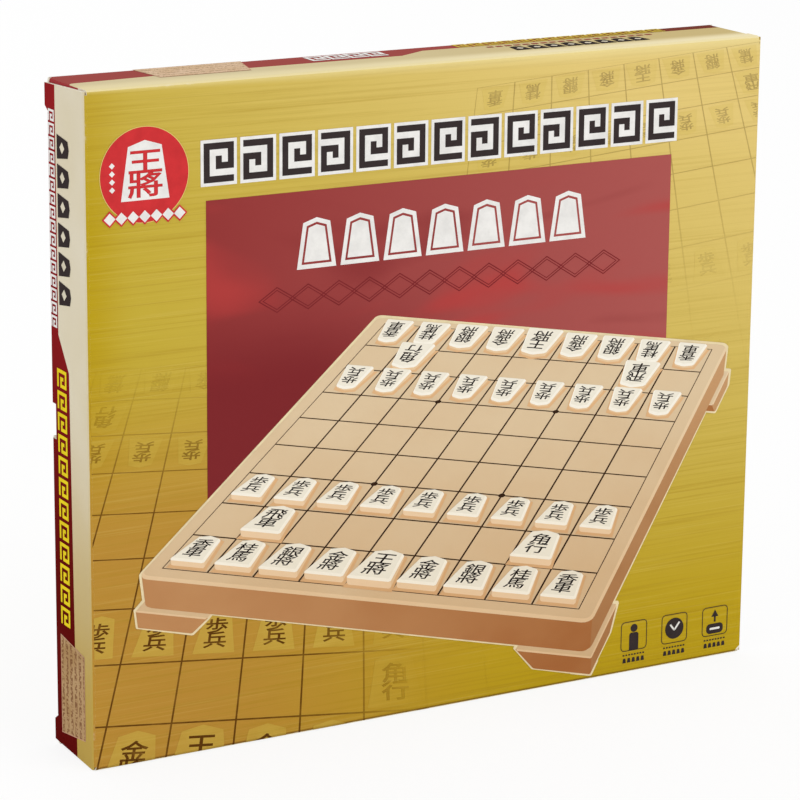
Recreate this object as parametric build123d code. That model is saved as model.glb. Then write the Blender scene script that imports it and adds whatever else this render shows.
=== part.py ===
from build123d import *
import math
import os

# Shogi set in its printed carton. Millimetres, +Z up, origin at the middle of the carton's underside.
# The carton's front faces -Y. Each end, at -X and at +X, is closed by a tuck flap and two dust flaps.

# Carton, measured over the outside of the folded sheet
carton_width = 388.0
carton_depth = 46.0
carton_height = 340.0
wall = 1.5
crease_radius = 2.0
closure_gap = 0.2
corner_relief = 2.2
panel_stub = 60.0

# Glue flap, which sticks the back panel to the bottom panel
glue_flap_width = 24.0
glue_flap_setback = 4.0

# End panel, hinged on the front panel, with a shoulder above and below the tuck crease
end_panel_relief = 0.6
end_panel_taper = 2.0
shoulder_height = 11.0
shoulder_step_run = 4.2
shoulder_step_height = 2.8

# Tuck flap on the far edge of the end panel
tuck_length = 14.0
tuck_tilt = 12.5
tuck_side_run = 9.0
tuck_side_straight = 5.0

# Finger notch across the tuck crease and through the back panel's edge
notch_height = 18.0
notch_panel_depth = 6.0
notch_flap_depth = 3.5
notch_back_depth = 3.5
notch_bevel = 1.6

# Dust flaps, folded in from the top and bottom panels
dust_flap_length = 34.0
dust_front_inset = 10.0
dust_front_slope = 18.0
dust_back_gap = 0.7
dust_shoulder_height = 9.0
dust_shoulder_step = 4.5
dust_back_slope = 5.0
dust_corner_radius = 5.0

# Playing board: moulded shell, set-in play panel, base plate and four bracket feet.
# The carton is made to fit it, so its size is the carton's less the room round it.
board_end_room = 11.0
board_side_room = 5.0
board_length = carton_width - 2 * board_end_room
board_width = carton_height - 2 * board_side_room
skirt_height = 24.0
skirt_wall = 2.4
skirt_draft = 1.0
skirt_edge_radius = 1.2
shell_plate = 2.0
rib_height = 5.0
rib_thick = 1.6
rib_spacing = 61.0
play_panel_thick = 2.5
play_panel_border = 4.0
play_panel_gap = 0.15

# Ruled grid on the play panel, inside a plain margin
grid_cells = 9
grid_end_margin = 10.2
grid_side_margin = 9.3
cell_length = (board_length - 2 * grid_end_margin) / grid_cells
cell_width = (board_width - 2 * grid_side_margin) / grid_cells
groove_width = 0.8
groove_depth = 0.4
star_radius = 1.6
star_step = 3

# Base plate and feet
base_thick = 3.0
base_proud = 1.5
base_edge_radius = 0.8
foot_height = 13.0
foot_leg_length = 64.0
foot_leg_drop = 58.0
foot_leg_width = 14.0
foot_slant = 9.0
foot_corner_radius = 2.0
foot_inset_ends = 6.5
foot_inset_sides = 1.5

# Room left between loose contents and what carries them
seat_gap = 0.3

# Thermoformed tray, hung by its flange in the base plate, and its cover card
tray_columns = 8
tray_pitch_x = 33.0
tray_pitch_z = 37.0
tray_sheet = 0.7
tray_pocket_depth = 10.4
tray_pocket_clearance = 0.6
tray_opening_margin = 2.0
tray_lip = 8.0
tray_recess_depth = 1.2
tray_recess_gap = 0.5
tray_corner_radius = 6.0
cover_card_thick = 0.4

# Folded rules leaflet in front of the board
leaflet_width = 182.0
leaflet_height = 257.0
leaflet_thick = 1.0
leaflet_spine_radius = 0.45
leaflet_fold_gap = 0.2
leaflet_offset = -30.0

# Playing pieces: length from foot to point, width and thickness at the foot
king_length = 31.2
king_width = 28.2
king_thick = 9.3
major_length = 30.0
major_width = 27.0
major_thick = 8.8
general_length = 28.6
general_width = 25.2
general_thick = 8.4
knight_length = 27.8
knight_width = 23.8
knight_thick = 8.0
lance_length = 27.6
lance_width = 22.4
lance_thick = 7.8
pawn_length = 26.6
pawn_width = 21.4
pawn_thick = 7.4

# Angles shared by all playing pieces, in degrees
side_lean = 8.5
point_slope = 17.5
face_slope = 5.0

# One army: name, how many, and the size of each
single_count = 1
pair_count = 2
pawn_count = 9
ARMY = (
    ("king", single_count, king_length, king_width, king_thick),
    ("rook", single_count, major_length, major_width, major_thick),
    ("bishop", single_count, major_length, major_width, major_thick),
    ("gold", pair_count, general_length, general_width, general_thick),
    ("silver", pair_count, general_length, general_width, general_thick),
    ("knight", pair_count, knight_length, knight_width, knight_thick),
    ("lance", pair_count, lance_length, lance_width, lance_thick),
    ("pawn", pawn_count, pawn_length, pawn_width, pawn_thick),
)
SIDES = ("sente", "gote")

# Faces of the carton
left_face = -carton_width / 2
front_face = -carton_depth / 2
back_face = carton_depth / 2
back_inside = back_face - wall
mid_height = carton_height / 2
sleeve_half = carton_width / 2 - wall - closure_gap

# The board lies with its play face to the front and its feet on the back panel
base_back = back_inside - seat_gap - foot_height
base_front = base_back - base_thick
play_face = base_front - skirt_height
shell_front = play_face + play_panel_thick
shell_inside = shell_front + shell_plate
skirt_growth = skirt_height * math.tan(math.radians(skirt_draft))
base_half_x = board_length / 2 + skirt_growth + base_proud
base_half_z = board_width / 2 + skirt_growth + base_proud
board_middle = 2 * wall + seat_gap + base_half_z

# Tray levels, from its flange towards the front
flange_front = base_back - tray_recess_depth
flange_back = flange_front + tray_sheet
pocket_floor = flange_back - tray_pocket_depth

# Room that the pockets take behind the flange
army_count = sum(kind[1] for kind in ARMY)
tray_rows = army_count * len(SIDES) // tray_columns
pocket_skin = 2 * (tray_pocket_clearance + tray_sheet)
tray_body_x = (tray_columns - 1) * tray_pitch_x + king_width + pocket_skin
tray_body_z = (tray_rows - 1) * tray_pitch_z + king_length + pocket_skin


def at_yz(x):
    """Plane at a place along X whose sketch axes are the carton's Y and Z."""
    return Plane(origin=(x, 0, 0), x_dir=(0, 1, 0), z_dir=(1, 0, 0))


def at_xz(y):
    """Plane at a place along Y whose sketch axes are the carton's X and Z, facing the front."""
    return Plane(origin=(0, y, 0), x_dir=(1, 0, 0), z_dir=(0, -1, 0))


def block(x_range, y_range, z_range):
    """Square block between three pairs of limits."""
    spans = (x_range, y_range, z_range)
    sizes = [high - low for low, high in spans]
    middle = [(low + high) / 2 for low, high in spans]
    return Pos(*middle) * Box(*sizes)


def run_x(outline, x_range):
    """Sketch in Y and Z run along X."""
    return extrude(at_yz(x_range[0]) * outline, x_range[1] - x_range[0])


def run_y(outline, y_range):
    """Sketch in X and Z run along Y."""
    return extrude(at_xz(y_range[1]) * outline, y_range[1] - y_range[0])


def polygon(points):
    """Closed face through points."""
    return make_face(Polyline(*points, close=True))


def folded(points, side):
    """Section of folded sheet whose outside runs through the points."""
    outside = FilletPolyline(*points, radius=crease_radius)
    return make_face(offset(outside, amount=wall, side=side))


def mitre(before, corner, after):
    """Plane that halves a crease, on the outside of its bend, facing the panel before it."""
    here = Vector(*corner)
    ahead = (Vector(*before) - here).normalized()
    behind = (Vector(*after) - here).normalized()
    halving = (ahead + behind).normalized()
    half_angle = math.radians(ahead.get_angle(halving))
    reach = crease_radius / math.sin(half_angle) - crease_radius
    return Plane(origin=here + halving * reach, z_dir=ahead - behind)


def plan(points):
    """Drop the height of points."""
    return [(x, y) for x, y, z in points]


def elevation(points):
    """Drop the depth of points."""
    return [(x, z) for x, y, z in points]


def with_mirror(part, direction, place=0.0):
    """A part and its copy on the other side of a plane square to a direction."""
    origin = Vector(*direction) * place
    return part + mirror(part, Plane(origin=origin, z_dir=direction))


def above_and_below(part):
    """A part and its copy mirrored about the carton's mid height."""
    return with_mirror(part, (0, 0, 1), mid_height)


# Outside corners of the left end in plan: front panel, end panel and tuck flap
panel_run = left_face + panel_stub
front_run = (panel_run, front_face, 0)
front_corner = (left_face, front_face, 0)
back_corner = (left_face, back_face, 0)
tuck_corner = (left_face, back_inside, 0)
tuck_reach = tuck_length * math.cos(math.radians(tuck_tilt))
tuck_drop = tuck_length * math.sin(math.radians(tuck_tilt))
tuck_tip = (left_face + tuck_reach, back_inside - tuck_drop, 0)
panel_mitre = mitre(front_run, front_corner, back_corner)
tuck_mitre = mitre(front_corner, tuck_corner, tuck_tip)

# Outside corners of the upper dust flap in front view
top_run = (panel_run, 0, carton_height)
dust_corner = (-sleeve_half, 0, carton_height)
dust_tip = (-sleeve_half, 0, carton_height - dust_flap_length)
dust_mitre = mitre(top_run, dust_corner, dust_tip)
dust_front = front_face + dust_front_inset
dust_back = back_inside - dust_back_gap

# Levels up the far edge of the end panel
far_top = carton_height - end_panel_relief - end_panel_taper
shoulder_foot = far_top - shoulder_height
tuck_top = shoulder_foot - shoulder_step_height


def sleeve_tube():
    """Front, top, back and bottom panels, with the glue flap on the bottom panel."""
    overlap = mid_height + wall
    wrap_path = [
        (back_face, 0),
        (front_face, 0),
        (front_face, carton_height),
        (back_face, carton_height),
        (back_face, mid_height),
    ]
    lower_path = [(back_face, overlap), (back_face, wall), (back_face - glue_flap_width, wall)]
    span = (-sleeve_half, sleeve_half)
    tube = run_x(folded(wrap_path, Side.RIGHT), span) + run_x(folded(lower_path, Side.RIGHT), span)
    flap_limits = (back_face - glue_flap_width - wall, back_inside - dust_back_gap / 2)
    setback = block((-sleeve_half, glue_flap_setback - sleeve_half), flap_limits, (wall, 2 * wall))
    return tube - with_mirror(setback, (1, 0, 0))


def finger_notch(x_end, y_range):
    """Notch from the left face inwards, with bevelled corners."""
    half = notch_height / 2
    outline = polygon(
        [
            (left_face - wall, mid_height - half),
            (x_end - notch_bevel, mid_height - half),
            (x_end, mid_height - half + notch_bevel),
            (x_end, mid_height + half - notch_bevel),
            (x_end - notch_bevel, mid_height + half),
            (left_face - wall, mid_height + half),
        ]
    )
    return run_y(outline, y_range)


def dust_sheet():
    """Top panel and upper left dust flap over the width of the crease."""
    profile = folded(elevation([top_run, dust_corner, dust_tip]), Side.LEFT)
    return run_y(profile, (dust_front, dust_back))


def carton_sleeve():
    """Four glued panels, open at both ends, with half of each end crease."""
    crease_zone = block(
        (left_face, crease_radius - sleeve_half),
        (dust_front, dust_back),
        (carton_height - crease_radius, carton_height + wall),
    )
    dust_fold = split(dust_sheet(), bisect_by=dust_mitre, keep=Keep.TOP)
    corner = folded(plan([front_run, front_corner, back_corner]), Side.RIGHT)
    upright = Pos(0, 0, corner_relief) * extrude(corner, carton_height - 2 * corner_relief)
    front_fold = split(upright, bisect_by=panel_mitre, keep=Keep.TOP)
    notch = finger_notch(notch_back_depth - sleeve_half, (back_inside - wall, back_face + wall))
    cut = above_and_below(crease_zone) + notch
    added = above_and_below(dust_fold) + front_fold
    return sleeve_tube() - with_mirror(cut, (1, 0, 0)) + with_mirror(added, (1, 0, 0))


def end_panel_outline():
    """Left end panel as seen from outside, without its tuck flap."""
    hinge_top = carton_height - end_panel_relief
    far_inset = back_face - shoulder_step_run
    upper = [
        (front_face, mid_height),
        (front_face, hinge_top),
        (back_face, far_top),
        (back_face, shoulder_foot),
        (far_inset, tuck_top),
        (far_inset, mid_height),
    ]
    half = run_x(polygon(upper), (left_face - wall, left_face + carton_depth))
    return above_and_below(half)


def tuck_sheet(z_range):
    """Front panel, end panel and tuck flap over a range of heights."""
    section = folded(plan([front_run, front_corner, tuck_corner, tuck_tip]), Side.RIGHT)
    return Pos(0, 0, z_range[0]) * extrude(section, z_range[1] - z_range[0])


def left_end_panel():
    """End panel with its shoulders, from the mitre at the front to the mitre at the tuck crease."""
    straight = extrude(folded(plan([front_run, front_corner, back_corner]), Side.RIGHT), carton_height)
    straight = split(straight, bisect_by=panel_mitre, keep=Keep.BOTTOM)
    bent = tuck_sheet((carton_height - tuck_top, tuck_top))
    bent = split(bent, bisect_by=panel_mitre, keep=Keep.BOTTOM)
    bent = split(bent, bisect_by=tuck_mitre, keep=Keep.TOP)
    notch_depth = (back_inside - notch_panel_depth, back_face + wall)
    half = notch_height / 2
    notch = block(
        (left_face - wall, left_face + carton_depth),
        notch_depth,
        (mid_height - half, mid_height + half),
    )
    return (straight & end_panel_outline()) + bent - notch


def left_tuck_flap():
    """Tuck flap with tapered ends, notched at its middle."""
    flap = split(tuck_sheet((carton_height - tuck_top, tuck_top)), bisect_by=tuck_mitre, keep=Keep.BOTTOM)
    tip_x = left_face + tuck_reach + wall
    root_x = left_face + tuck_side_straight
    upper = [
        (left_face - wall, mid_height),
        (left_face - wall, tuck_top - closure_gap),
        (root_x, tuck_top - closure_gap),
        (tip_x, tuck_top - closure_gap - tuck_side_run),
        (tip_x, mid_height),
    ]
    outline = above_and_below(run_y(polygon(upper), (front_face, back_face)))
    flap &= outline
    return flap - finger_notch(left_face + notch_flap_depth, (front_face, back_face + wall))


def left_upper_dust_flap():
    """Dust flap with a sloping front edge and a shoulder that clears the tuck flap."""
    flap = split(dust_sheet(), bisect_by=dust_mitre, keep=Keep.BOTTOM)
    foot = carton_height - dust_flap_length
    root = carton_height - crease_radius
    front_run_in = (root - foot) * math.tan(math.radians(dust_front_slope))
    shoulder = carton_height - dust_shoulder_height
    step_end = shoulder - dust_shoulder_step
    narrow = dust_back - dust_shoulder_step
    back_run_in = (step_end - foot) * math.tan(math.radians(dust_back_slope))
    outline = polygon(
        [
            (dust_front, carton_height),
            (dust_front, root),
            (dust_front + front_run_in, foot),
            (narrow - back_run_in, foot),
            (narrow, step_end),
            (dust_back, shoulder),
            (dust_back, carton_height),
        ]
    )
    lower_corners = outline.vertices().sort_by(Axis.Y)[:2]
    outline = fillet(lower_corners, dust_corner_radius)
    return flap & run_x(outline, (left_face, left_face + carton_depth))


def board_shell():
    """Hollow moulded board body, open at the back, with ribs and a recess for the play panel."""
    foot_x = board_length + 2 * skirt_growth
    foot_z = board_width + 2 * skirt_growth
    outer = Rectangle(foot_x, foot_z)
    middle = Pos(0, board_middle)
    body = extrude(at_xz(base_front) * middle * outer, skirt_height, taper=skirt_draft)
    front_edges = body.faces().sort_by(Axis.Y)[0].edges()
    body = fillet(front_edges, skirt_edge_radius)
    inner = Rectangle(foot_x - 2 * skirt_wall, foot_z - 2 * skirt_wall)
    hollow_depth = base_front - shell_inside
    body -= extrude(at_xz(base_front) * middle * inner, hollow_depth, taper=skirt_draft)
    border = 2 * play_panel_border
    recess = middle * Rectangle(board_length - border, board_width - border)
    body -= run_y(recess, (play_face - wall, shell_front))
    return body + shell_ribs()


def shell_ribs():
    """Crossing ribs behind the shell's plate."""
    depth = (shell_inside, shell_inside + rib_height)
    half_x = board_length / 2 - skirt_wall / 2
    half_z = board_width / 2 - skirt_wall / 2
    ribs = []
    for place in rib_places(half_x):
        ribs.append(
            block(
                (place - rib_thick / 2, place + rib_thick / 2),
                depth,
                (board_middle - half_z, board_middle + half_z),
            )
        )
    for place in rib_places(half_z):
        level = board_middle + place
        ribs.append(block((-half_x, half_x), depth, (level - rib_thick / 2, level + rib_thick / 2)))
    return Part() + ribs


def rib_places(half_span):
    """Rib centres, evenly spaced about the middle of a span."""
    count = int(half_span / rib_spacing)
    return [step * rib_spacing for step in range(-count, count + 1) if abs(step) * rib_spacing < half_span]


def play_panel():
    """Panel set flush in the shell, with the ruled grid and four star points engraved."""
    trim = 2 * (play_panel_border + play_panel_gap)
    face = Pos(0, board_middle) * Rectangle(board_length - trim, board_width - trim)
    panel = run_y(face, (play_face, shell_front))
    half_x = grid_cells * cell_length / 2
    half_z = grid_cells * cell_width / 2
    half_groove = groove_width / 2
    depth = (play_face - wall, play_face + groove_depth)
    grooves = []
    for line in range(grid_cells + 1):
        x = line * cell_length - half_x
        z = board_middle + line * cell_width - half_z
        low, high = board_middle - half_z - half_groove, board_middle + half_z + half_groove
        grooves.append(block((x - half_groove, x + half_groove), depth, (low, high)))
        low, high = -half_x - half_groove, half_x + half_groove
        grooves.append(block((low, high), depth, (z - half_groove, z + half_groove)))
    star_x = half_x - star_step * cell_length
    star_z = half_z - star_step * cell_width
    stars = GridLocations(2 * star_x, 2 * star_z, 2, 2) * Circle(star_radius)
    return panel - grooves - run_y(Pos(0, board_middle) * Sketch(children=stars), depth)


def base_plate():
    """Plate that closes the shell, with a recessed opening that the tray hangs in."""
    middle = Pos(0, board_middle)
    plate = run_y(middle * Rectangle(2 * base_half_x, 2 * base_half_z), (base_front, base_back))
    rim = plate.edges().filter_by(Axis.Y, reverse=True)
    plate = fillet(rim, base_edge_radius)
    margin = 2 * tray_opening_margin
    opening = RectangleRounded(tray_body_x + margin, tray_body_z + margin, tray_corner_radius)
    plate -= run_y(middle * opening, (base_front - wall, base_back + wall))
    recess = tray_flange_outline(tray_recess_gap)
    return plate - run_y(recess, (flange_front, base_back + wall))


def tray_flange_outline(growth):
    """Outline of the tray's flange, grown all round."""
    size_x = tray_body_x + 2 * (tray_lip + growth)
    size_z = tray_body_z + 2 * (tray_lip + growth)
    return Pos(0, board_middle) * RectangleRounded(size_x, size_z, tray_corner_radius + growth)


def board_foot(side_x, side_z):
    """Bracket foot: an L of two legs whose ends slope in towards the floor."""
    corner_x = side_x * (base_half_x - foot_inset_ends)
    corner_z = board_middle + side_z * (base_half_z - foot_inset_sides)
    toe = base_back + foot_height

    def leg(length):
        return polygon([(0, base_back), (length, base_back), (length - foot_slant, toe), (0, toe)])

    along = extrude(leg(foot_leg_length), foot_leg_width)
    upright = Rot(0, -90, 0) * Pos(0, 0, -foot_leg_width) * extrude(leg(foot_leg_drop), foot_leg_width)
    bracket = along + upright
    uprights = bracket.edges().filter_by(Axis.Y)
    corner_edge = uprights.sort_by(lambda edge: edge.center().X + edge.center().Z)[0]
    bracket = fillet(corner_edge, foot_corner_radius)
    if side_x > 0:
        bracket = mirror(bracket, Plane.YZ)
    if side_z > 0:
        bracket = mirror(bracket, Plane.XY)
    return Pos(corner_x, 0, corner_z) * bracket


def piece_outline(length, width):
    """Five-sided face of a playing piece, standing on its foot at the origin."""
    lean = math.tan(math.radians(side_lean))
    slope = math.tan(math.radians(point_slope))
    shoulder = (length - width / 2 * slope) / (1 - lean * slope)
    shoulder_half = width / 2 - shoulder * lean
    return polygon(
        [
            (-width / 2, 0),
            (width / 2, 0),
            (shoulder_half, shoulder),
            (0, length),
            (-shoulder_half, shoulder),
        ]
    )


def playing_piece(length, width, thick):
    """Five-sided wedge, thickest at its foot, lying on its back face."""
    blank = run_y(piece_outline(length, width), (0, thick))
    thin = thick - length * math.tan(math.radians(face_slope))
    profile = polygon([(0, 0), (thick, 0), (thin, length), (0, length)])
    return blank & run_x(profile, (-width / 2, width / 2))


def army_names(side):
    """Node name and sizes of each playing piece of one side."""
    named = []
    for kind, count, length, width, thick in ARMY:
        for number in range(1, count + 1):
            name = f"{side}_{kind}_{number}" if count > 1 else f"{side}_{kind}"
            named.append((name, (length, width, thick)))
    return named


def pocket_places():
    """Node name, sizes and pocket centre of each playing piece, army by army."""
    per_side = tray_columns // len(SIDES)
    places = []
    for half, side in enumerate(SIDES):
        for slot, (name, sizes) in enumerate(army_names(side)):
            column = half * per_side + slot % per_side
            row = slot // per_side
            x = (column - (tray_columns - 1) / 2) * tray_pitch_x
            z = board_middle + ((tray_rows - 1) / 2 - row) * tray_pitch_z
            places.append((name, sizes, (x, z)))
    return places


def piece_tray():
    """Formed sheet with one five-sided pocket for each piece and a flat flange round them."""
    walls = []
    hollows = []
    for name, (length, width, thick), (x, z) in pocket_places():
        outline = Pos(x, z - length / 2) * piece_outline(length, width)
        walls.append(offset(outline, tray_pocket_clearance + tray_sheet, kind=Kind.INTERSECTION))
        hollows.append(offset(outline, tray_pocket_clearance, kind=Kind.INTERSECTION))
    tray = run_y(tray_flange_outline(0.0), (flange_front, flange_back))
    tray += run_y(Sketch(children=walls), (pocket_floor - tray_sheet, flange_front))
    return tray - run_y(Sketch(children=hollows), (pocket_floor, flange_back))


def cover_card():
    """Card that lies on the tray's flange, inside the base plate's recess."""
    return run_y(tray_flange_outline(0.0), (flange_back, flange_back + cover_card_thick))


def rules_leaflet():
    """Sheet folded once, standing between the play panel and the front panel."""
    back = play_face - seat_gap
    front = back - leaflet_thick
    foot = wall + seat_gap
    low_x = leaflet_offset - leaflet_width / 2
    sheet = block((low_x, low_x + leaflet_width), (front, back), (foot, foot + leaflet_height))
    spine = sheet.edges().filter_by(Axis.Z).group_by(Axis.X)[0]
    sheet = fillet(spine, leaflet_spine_radius)
    middle = (front + back) / 2
    leaf_gap = (middle - leaflet_fold_gap / 2, middle + leaflet_fold_gap / 2)
    leaf_run = (low_x + leaflet_thick, low_x + leaflet_width)
    return sheet - block(leaf_run, leaf_gap, (foot, foot + leaflet_height))


def carton_parts():
    """Sleeve and the closures of both ends."""
    panel = left_end_panel()
    tuck = left_tuck_flap()
    upper = left_upper_dust_flap()
    lower = mirror(upper, Plane(origin=(0, 0, mid_height), z_dir=(0, 0, 1)))
    left = {
        "end_panel": panel,
        "tuck_flap": tuck,
        "upper_dust_flap": upper,
        "lower_dust_flap": lower,
    }
    parts = {"carton_sleeve": carton_sleeve()}
    for name, shape in left.items():
        parts[f"left_{name}"] = shape
        parts[f"right_{name}"] = mirror(shape, Plane.YZ)
    return parts


def board_parts():
    """Board shell, play panel, base plate and feet."""
    parts = {"board_shell": board_shell(), "play_panel": play_panel(), "base_plate": base_plate()}
    corners = {"lower_left": (-1, -1), "lower_right": (1, -1), "upper_left": (-1, 1), "upper_right": (1, 1)}
    for name, (side_x, side_z) in corners.items():
        parts[f"{name}_foot"] = board_foot(side_x, side_z)
    return parts


def stored_parts():
    """Tray, its cover card, the leaflet and all playing pieces in their pockets."""
    parts = {"piece_tray": piece_tray(), "cover_card": cover_card(), "rules_leaflet": rules_leaflet()}
    sink = tray_pocket_clearance - seat_gap
    for name, sizes, (x, z) in pocket_places():
        parts[name] = Pos(x, pocket_floor, z - sizes[0] / 2 - sink) * playing_piece(*sizes)
    return parts


def main():
    """Write every sub-part to its own file."""
    os.makedirs("parts", exist_ok=True)
    for name, shape in {**carton_parts(), **board_parts(), **stored_parts()}.items():
        solids = shape.solids()
        whole = solids[0] if len(solids) == 1 else Compound(children=solids)
        export_step(whole, f"parts/{name}.step")


main()
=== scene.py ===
import math
from contextlib import contextmanager

import bpy
from mathutils import Matrix, Vector


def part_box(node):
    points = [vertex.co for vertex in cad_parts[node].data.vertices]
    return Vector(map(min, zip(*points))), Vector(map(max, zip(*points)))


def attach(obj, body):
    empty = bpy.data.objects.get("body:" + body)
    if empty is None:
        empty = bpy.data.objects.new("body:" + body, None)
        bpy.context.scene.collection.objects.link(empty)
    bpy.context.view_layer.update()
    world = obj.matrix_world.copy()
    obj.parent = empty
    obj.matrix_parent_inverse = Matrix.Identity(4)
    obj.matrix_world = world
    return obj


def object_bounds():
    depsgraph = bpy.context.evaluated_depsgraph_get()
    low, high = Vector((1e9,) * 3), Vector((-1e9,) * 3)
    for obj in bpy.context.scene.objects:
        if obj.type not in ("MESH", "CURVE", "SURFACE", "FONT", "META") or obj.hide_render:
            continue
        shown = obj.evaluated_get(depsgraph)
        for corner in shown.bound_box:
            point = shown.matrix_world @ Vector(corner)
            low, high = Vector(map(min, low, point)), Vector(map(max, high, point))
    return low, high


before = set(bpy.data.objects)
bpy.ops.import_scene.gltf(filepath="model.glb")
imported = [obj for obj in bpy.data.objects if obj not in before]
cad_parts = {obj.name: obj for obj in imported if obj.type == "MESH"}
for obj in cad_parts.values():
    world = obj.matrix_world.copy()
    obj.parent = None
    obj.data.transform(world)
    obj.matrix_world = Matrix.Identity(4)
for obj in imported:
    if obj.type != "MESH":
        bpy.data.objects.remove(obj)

bl_info = {
    "name": "Shogi set in its carton",
    "version": (1, 0, 0),
    "blender": (4, 5, 0),
    "location": "View3D > Sidebar > Shogi Set",
    "description": "Prints the carton and finishes the board, the tray and the playing pieces",
    "category": "Object",
}

MM = 0.001
CAD_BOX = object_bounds()
LOW, HIGH = CAD_BOX
WIDTH, DEPTH, HEIGHT = ((HIGH - LOW) / MM)[:]
SIDES = ("left", "right")

# Thickness of ink, the height of each of its layers, and a small step inside a layer, in millimetres
INK = 0.04
GHOST, GHOST_PIECE, GHOST_MARK = 0.01, 0.03, 0.05
FIRST, SECOND, THIRD, FOURTH, FIFTH, SIXTH = 0.12, 0.17, 0.22, 0.27, 0.32, 0.37
PAINTED = 0.012

# Traditional key-fret unit, and the squares to a cell that it is cut from
FRET = ("#####", "#...#", "#.#.#", "#.###", "#....", "#####")
FINE = 4

# Standard mark of each kind of playing piece, then its length, width and thickness in millimetres
KOMA = {
    "king": ("王\n將", 31.2, 28.2, 9.3),
    "rook": ("飛\n車", 30.0, 27.0, 8.8),
    "bishop": ("角\n行", 30.0, 27.0, 8.8),
    "gold": ("金\n將", 28.6, 25.2, 8.4),
    "silver": ("銀\n將", 28.6, 25.2, 8.4),
    "knight": ("桂\n馬", 27.8, 23.8, 8.0),
    "lance": ("香\n車", 27.6, 22.4, 7.8),
    "pawn": ("歩\n兵", 26.6, 21.4, 7.4),
}
BACK_RANK = ("lance", "knight", "silver", "gold", "king", "gold", "silver", "knight", "lance")
# How fast a piece's face falls from its foot to its tip
FALL = math.tan(math.radians(5.0))
# Width of a small piece figure to its height
STOUT = 0.86

# Cell of the printed boards in millimetres, and how large their pieces are drawn, to the real ones
CELL_ACROSS, CELL_ALONG = 34.6, 38.4
PICTURED, PICTURED_THICK, FAINT = 1.18, 0.8, 1.12

# Camera in a picture 800 wide, fitted to the seven corners of the carton that show
CAMERA_PLACE = (-0.8328, -1.4587, 0.6064)
CAMERA_TURN = (75.823, -0.49, -29.326)
CAMERA_SHIFT = -0.05
FOCAL_LENGTH, PICTURE_WIDTH = 3372.4, 800
SENSOR = 36.0


def ink(red, green, blue):
    """Linear colour of a shade given as it is seen, each part from 0 to 255."""
    parts = []
    for part in (red, green, blue):
        part /= 255
        parts.append(part / 12.92 if part <= 0.04045 else ((part + 0.055) / 1.055) ** 2.4)
    return tuple(parts)


def dimmed(colour, share):
    """The same colour with a share of its light."""
    return tuple(part * share for part in colour[:3])


# Surfaces


def operation(kind, swapped=False):
    """Sum or comparison of a field with another field or a number."""

    def result(field, other):
        return field.math(kind, *((other, field) if swapped else (field, other)))

    return result


class Field:
    """A value that varies over a surface, joined to others by sums and comparisons."""

    __add__ = __radd__ = operation("ADD")
    __sub__ = operation("SUBTRACT")
    __rsub__ = operation("SUBTRACT", swapped=True)
    __mul__ = __rmul__ = operation("MULTIPLY")
    __truediv__ = operation("DIVIDE")
    above = operation("GREATER_THAN")
    below = operation("LESS_THAN")

    def __init__(self, finish, socket):
        self.finish = finish
        self.socket = socket

    def math(self, kind, *values, clamp=False):
        node = self.finish.node("ShaderNodeMath", operation=kind, use_clamp=clamp)
        for entry, value in zip(node.inputs, values):
            self.finish.feed(entry, value)
        return Field(self.finish, node.outputs[0])

    def __abs__(self):
        return self.math("ABSOLUTE", self)

    def wave(self):
        return self.math("SINE", self)

    def clipped(self):
        return self.math("ADD", self, 0.0, clamp=True)

    def between(self, low, high):
        """0 at low and 1 at high, with a soft start and end."""
        node = self.finish.node("ShaderNodeMapRange", interpolation_type="SMOOTHSTEP")
        for entry, value in zip(node.inputs, (self, low, high)):
            self.finish.feed(entry, value)
        return Field(self.finish, node.outputs[0])


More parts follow.
